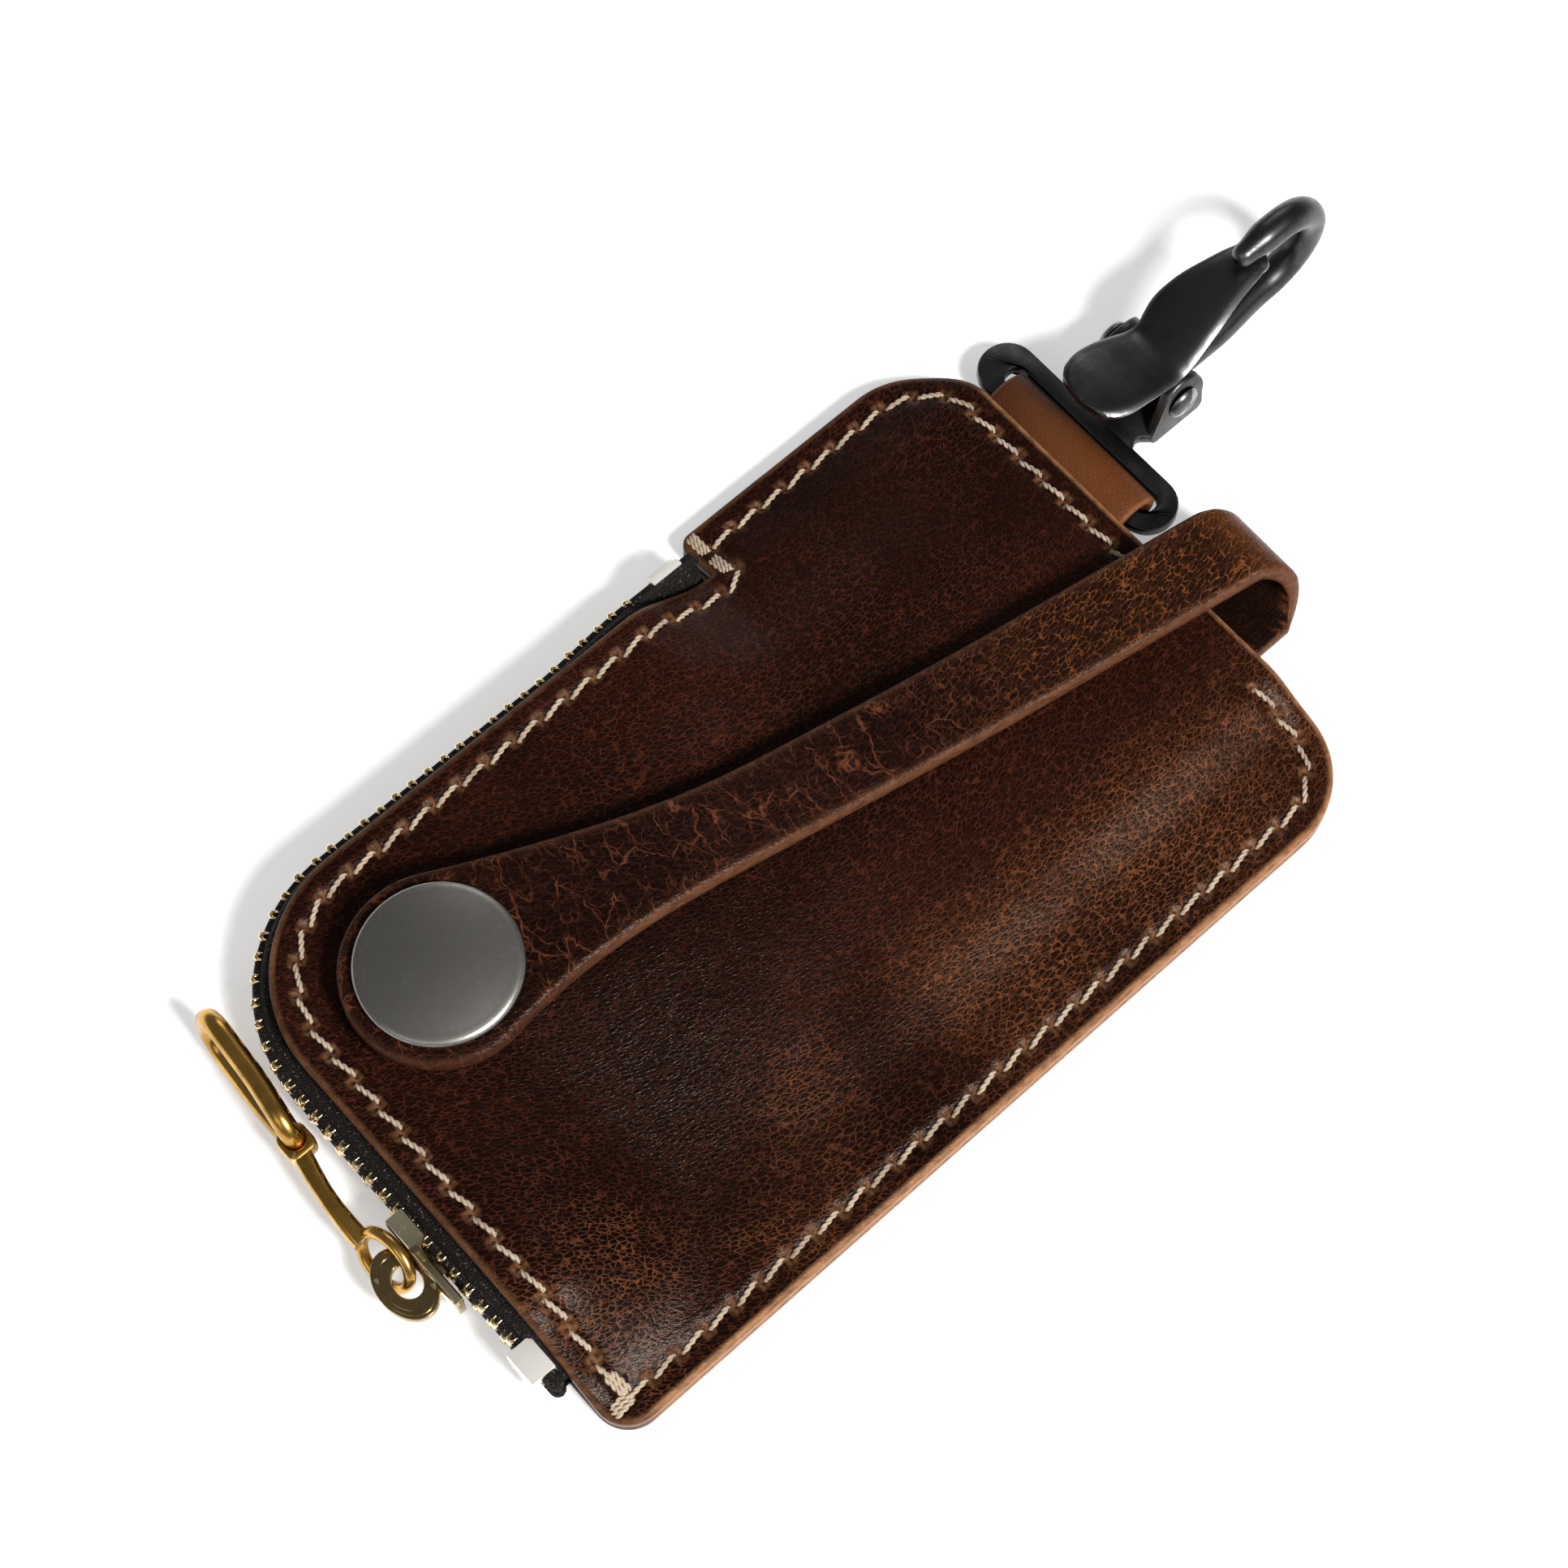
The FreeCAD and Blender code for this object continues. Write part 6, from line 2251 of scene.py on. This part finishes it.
    def arm(self, shape: Shape) -> None:
        """Adds the bowed arm, thickest in the bow and drawn to a claw at its tip.

        Args:
            shape: Shape to add it to.
        """
        start, bend = self.arm_x
        root = columns(np.linspace(start, bend, 20), self.arm_z)
        run = np.linspace(0, 1, 14)[1:]
        tip = columns(bend + (self.tip_x - bend) * run, self.arm_z + 2 * self.bow - 0.35 * run ** 1.6)
        path = np.vstack([root, arc((bend, self.arm_z + self.bow), self.bow, -88, 90, 36), tip])
        share = np.linspace(0, 1, len(path))
        radius = 1.85 + 0.1 * np.exp(-((share - 0.5) / 0.25) ** 2) - 0.5 * smooth((share - 0.86) / 0.14)
        aside = np.where(share < 0.5, 0.7 * smooth((bend - path[:, 0]) / 9), 0.0)
        shape.tube(columns(path[:, 0], self.y - aside, path[:, 1]), radius, 20)

    def lever(self, shape: Shape) -> None:
        """Adds the bent lever: a round thumb tab, a valley over the pivot and a broad front.

        Args:
            shape: Shape to add it to.
        """
        places, lows, highs = np.array(self.lever_sides).T
        bends, levels = np.array(self.lever_levels).T
        across = np.linspace(-1, 1, 17)
        lift = np.abs(across) ** 12
        valley = 69.5
        rings = []
        for x in np.unique(np.concatenate([np.linspace(places[0], places[-1], 80), places])):
            low, high = self.eased(x, places, lows), self.eased(x, places, highs)
            middle, half = self.y + (low + high) / 2, (high - low) / 2
            front = float(smooth((x - valley) / 5))
            bent = math.exp(-((x - valley) / 3.5) ** 2)
            crown = self.eased(x, bends, levels) - (0.25 + 0.1 * front + 0.25 * bent) * np.abs(across) ** 2.4
            top = columns(x, middle + half * across, crown + 1.25 - 0.3 * lift)
            under = columns(x, middle + (half - 0.12) * across, crown + 0.1 + 0.15 * lift)
            rings.append(np.vstack([top, under[::-1]]))
        shape.rings(rings)

    def eased(self, x: float, places: np.ndarray, levels: np.ndarray) -> float:
        """Smooth curve through levels.

        Args:
            x: Where it is read.
            places: Where the levels are given.
            levels: The levels.

        Returns:
            The level there.
        """
        slopes = np.gradient(levels, places)
        k = int(np.clip(np.searchsorted(places, x) - 1, 0, len(places) - 2))
        run = places[k + 1] - places[k]
        t = (x - places[k]) / run
        start = (2 * t ** 3 - 3 * t ** 2 + 1) * levels[k] + (t ** 3 - 2 * t ** 2 + t) * run * slopes[k]
        end = (3 * t ** 2 - 2 * t ** 3) * levels[k + 1] + (t ** 3 - t ** 2) * run * slopes[k + 1]
        return float(start + end)

    def flanges(self, shape: Shape) -> None:
        """Adds the two flanges of the lever that turn on the rivet.

        Args:
            shape: Shape to add them to.
        """
        px, top, spread = self.pivot[0], 9.9, 2.6
        outline = np.vstack([
            arc(self.pivot, self.flange, 180, 360, 24), [[px + spread, top], [px - spread, top]],
        ])
        for side in (-1, 1):
            low, high = sorted(side * face for face in self.flange_y)
            shape.plate(outline, low, high, 0.15, lambda a, b, c: columns(a, self.y + c, b))


# Stage


@dataclass(frozen=True)
class Stage:
    """White floor, soft lights and the camera.

    Attributes:
        azimuth: Way from the object to the camera in plan, in degrees.
        elevation: Height of the camera over the floor, in degrees.
        target: Point that the camera looks at, in metres.
        distance: Distance of the camera in metres.
        lens: Focal length for a 36 mm wide picture.
        lamps: Name, place in metres, width in metres and power in watts of each lamp.
        glow: Own light of the floor, where the camera or a reflection sees it.
        dim: Strength of the world's light beside the camera's view of it.
    """

    azimuth: float = -131.87
    elevation: float = 68.19
    target: Point = (0.00651, 0.00727, 0.0)
    distance: float = 0.3574
    lens: float = 75.35
    lamps: Sequence[tuple[str, Point, float, float]] = (
        ("key", (0.05, -0.66, 0.74), 0.24, 15.0), ("fill", (-0.7, -0.2, 0.6), 0.5, 1.0),
        ("rim", (0.6, 0.55, 0.5), 0.4, 1.0),
    )
    glow: float = 0.4
    dim: float = 0.18

    def aim(self, made: bpy.types.Object, place: Point, back: Vector) -> None:
        """Sets a lamp or the camera on its place.

        Args:
            made: The lamp or the camera.
            place: Where it stands, in metres.
            back: Way that its back faces.
        """
        made.location = place
        made.rotation_mode = "QUATERNION"
        made.rotation_quaternion = back.to_track_quat("Z", "Y")

    def light(self, name: str, place: Point, size: float, power: float) -> None:
        """Adds a square lamp that faces the object.

        Args:
            name: Name of the lamp.
            place: Where it stands, in metres.
            size: Width of its panel in metres.
            power: Its power in watts.
        """
        lamp = bpy.data.lights.new(name, "AREA")
        lamp.energy = power
        lamp.size = size
        self.aim(linked(name, lamp), place, Vector(place))

    def floor(self) -> None:
        """Adds the white floor."""
        bpy.ops.mesh.primitive_plane_add(size=4)
        made = bpy.context.object
        made.name = "floor"
        material = bpy.data.materials.new("white_floor")
        material.use_nodes = True
        n = Nodes(material.node_tree)
        path = n.add("ShaderNodeLightPath").outputs
        seen = n.math("MAXIMUM", path["Is Camera Ray"], path["Is Glossy Ray"])
        n.fill(material.node_tree.nodes["Principled BSDF"], {
            "Base Color": (0.92, 0.92, 0.92, 1), "Roughness": 0.9, "Specular IOR Level": 0.1,
            "Emission Color": (1, 1, 1, 1), "Emission Strength": n.times(seen, self.glow),
        })
        made.data.materials.append(material)

    def build(self) -> None:
        """Sets the view, the floor, the lamps, the world and the camera."""
        scene = bpy.context.scene
        scene.view_settings.view_transform = "Standard"
        self.floor()
        for lamp in self.lamps:
            self.light(*lamp)
        world = bpy.data.worlds.new("studio")
        scene.world = world
        world.use_nodes = True
        n = Nodes(world.node_tree)
        seen = n.add("ShaderNodeLightPath").outputs["Is Camera Ray"]
        strength = n.ramp(seen, 0.0, 1.0, self.dim, 1.0)
        n.fill(world.node_tree.nodes["Background"], {"Color": (1, 1, 1, 1), "Strength": strength})
        azimuth, elevation = math.radians(self.azimuth), math.radians(self.elevation)
        level = math.cos(elevation)
        back = Vector((math.cos(azimuth) * level, math.sin(azimuth) * level, math.sin(elevation)))
        lens = bpy.data.cameras.new("camera")
        lens.lens = self.lens
        lens.clip_start = 0.01
        scene.camera = linked("camera", lens)
        self.aim(scene.camera, Vector(self.target) + back * self.distance, back)


# Finishes


@dataclass
class Finishes:
    """All the materials of the case, built once."""

    case: LeatherFinish = LeatherFinish(
        # The case's tan crease colour is partly painted glints on the grain.
        "waxed_case_leather", rgb(13, 5, 3), rgb(19, 7, 4), rgb(68, 32, 19), rgb(150, 104, 70),
        # The pale creases in the case's band are a painted highlight.
        pale=rgb(112, 66, 41), highlight_band=(-0.0265, 0.014), stretch=0.45,
    )
    strap: LeatherFinish = LeatherFinish(
        "waxed_strap_leather", rgb(14, 5, 3), rgb(22, 9, 6), rgb(58, 27, 17), rgb(98, 62, 42),
        pale=rgb(104, 60, 38), glow=rgb(118, 68, 35), worn_from=(0.012, 0.05), bend_from=(0.056, 0.067),
        cracks=0.75, shine=0.09, cell=1900.0, stretch=0.4, bump=0.00005,
    )
    tab: LeatherFinish = LeatherFinish(
        "tan_tab_leather", rgb(52, 26, 12), rgb(100, 56, 27), rgb(70, 37, 18), rgb(124, 78, 46),
        cell=2600.0, gloss=0.4, shine=0.16, bump=0.00004,
    )
    thread: ThreadFinish = ThreadFinish("waxed_thread", rgb(182, 163, 138), rgb(92, 64, 45))
    tape: TapeFinish = TapeFinish("black_zip_tape", rgb(13, 10, 9), rgb(104, 90, 78))
    zip: MetalFinish = MetalFinish(
        "zip_brass", rgb(226, 194, 132), rgb(140, 104, 56), rgb(250, 236, 200), 0.16, 0.4, 0.6
    )
    slider: MetalFinish = MetalFinish(
        "slider_brass", rgb(158, 134, 90), rgb(96, 76, 46), rgb(255, 240, 206), 0.13, 0.5, 0.8
    )
    # Painted highlight: the stops' near-white colour and lower metallic share stand in for the blown-out
    # reflection of their brass.
    stops: MetalFinish = MetalFinish(
        "stops_painted_highlight", rgb(252, 248, 240), rgb(224, 212, 186), rgb(255, 255, 252), 0.14, 0.2, 0.4,
        metallic=0.55,
    )
    puller: MetalFinish = MetalFinish(
        "antique_brass", rgb(196, 152, 74), rgb(104, 70, 30), rgb(244, 220, 160), 0.22, 0.5, 0.6
    )
    snap: MetalFinish = MetalFinish(
        "antique_silver", rgb(142, 138, 133), rgb(92, 88, 85), rgb(206, 204, 198), 0.36, 0.22, 0.7, 0.3,
        size=1.6, speck=0.9,
    )
    hook: MetalFinish = MetalFinish(
        "blackened_steel", rgb(72, 71, 72), rgb(38, 37, 38), rgb(190, 188, 185), 0.32, 0.6, 0.6
    )
    ring: MetalFinish = MetalFinish(
        "ring_steel", rgb(170, 170, 172), rgb(110, 108, 106), rgb(225, 225, 225), 0.25, 0.4, 0.4
    )


FRAME_METALS = {
    "snap": ("snap_socket", "snap_stud", "snap_rivet", "ring_rivet_cap", "ring_rivet_post"),
    "hook": ("hook_spring",),
    "ring": ("key_ring",),
}


def dress_frame(finishes: dict[str, Material]) -> None:
    """Gives the solids of the frame that stay in sight their finishes.

    Args:
        finishes: Materials by name.
    """
    for finish, nodes in FRAME_METALS.items():
        for label in nodes:
            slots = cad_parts[label].data.materials
            slots.clear()
            slots.append(finishes[finish])


def main() -> None:
    """Builds the case in order."""
    logging.basicConfig(level=logging.INFO, format="scene: %(message)s")
    finishes = {name: finish.build() for name, finish in vars(Finishes()).items()}
    Stage().build()
    dress_frame(finishes)
    repeat = Repeat()
    panels = CasePanels()
    threads = SeamThreads(panels)
    panels.build(finishes["case"], threads.holes(True), threads.holes(False))
    threads.build(repeat, finishes["thread"])
    Strap().build(finishes["strap"])
    Zip(panels).build(repeat, finishes["zip"], finishes["stops"], finishes["tape"])
    Slider().build(finishes["slider"])
    Puller().build(finishes["puller"])
    SnapCap().build(finishes["snap"])
    HookTab().build(finishes["tab"])
    Hook().build(finishes["hook"])


if __name__ == "__main__":
    main()
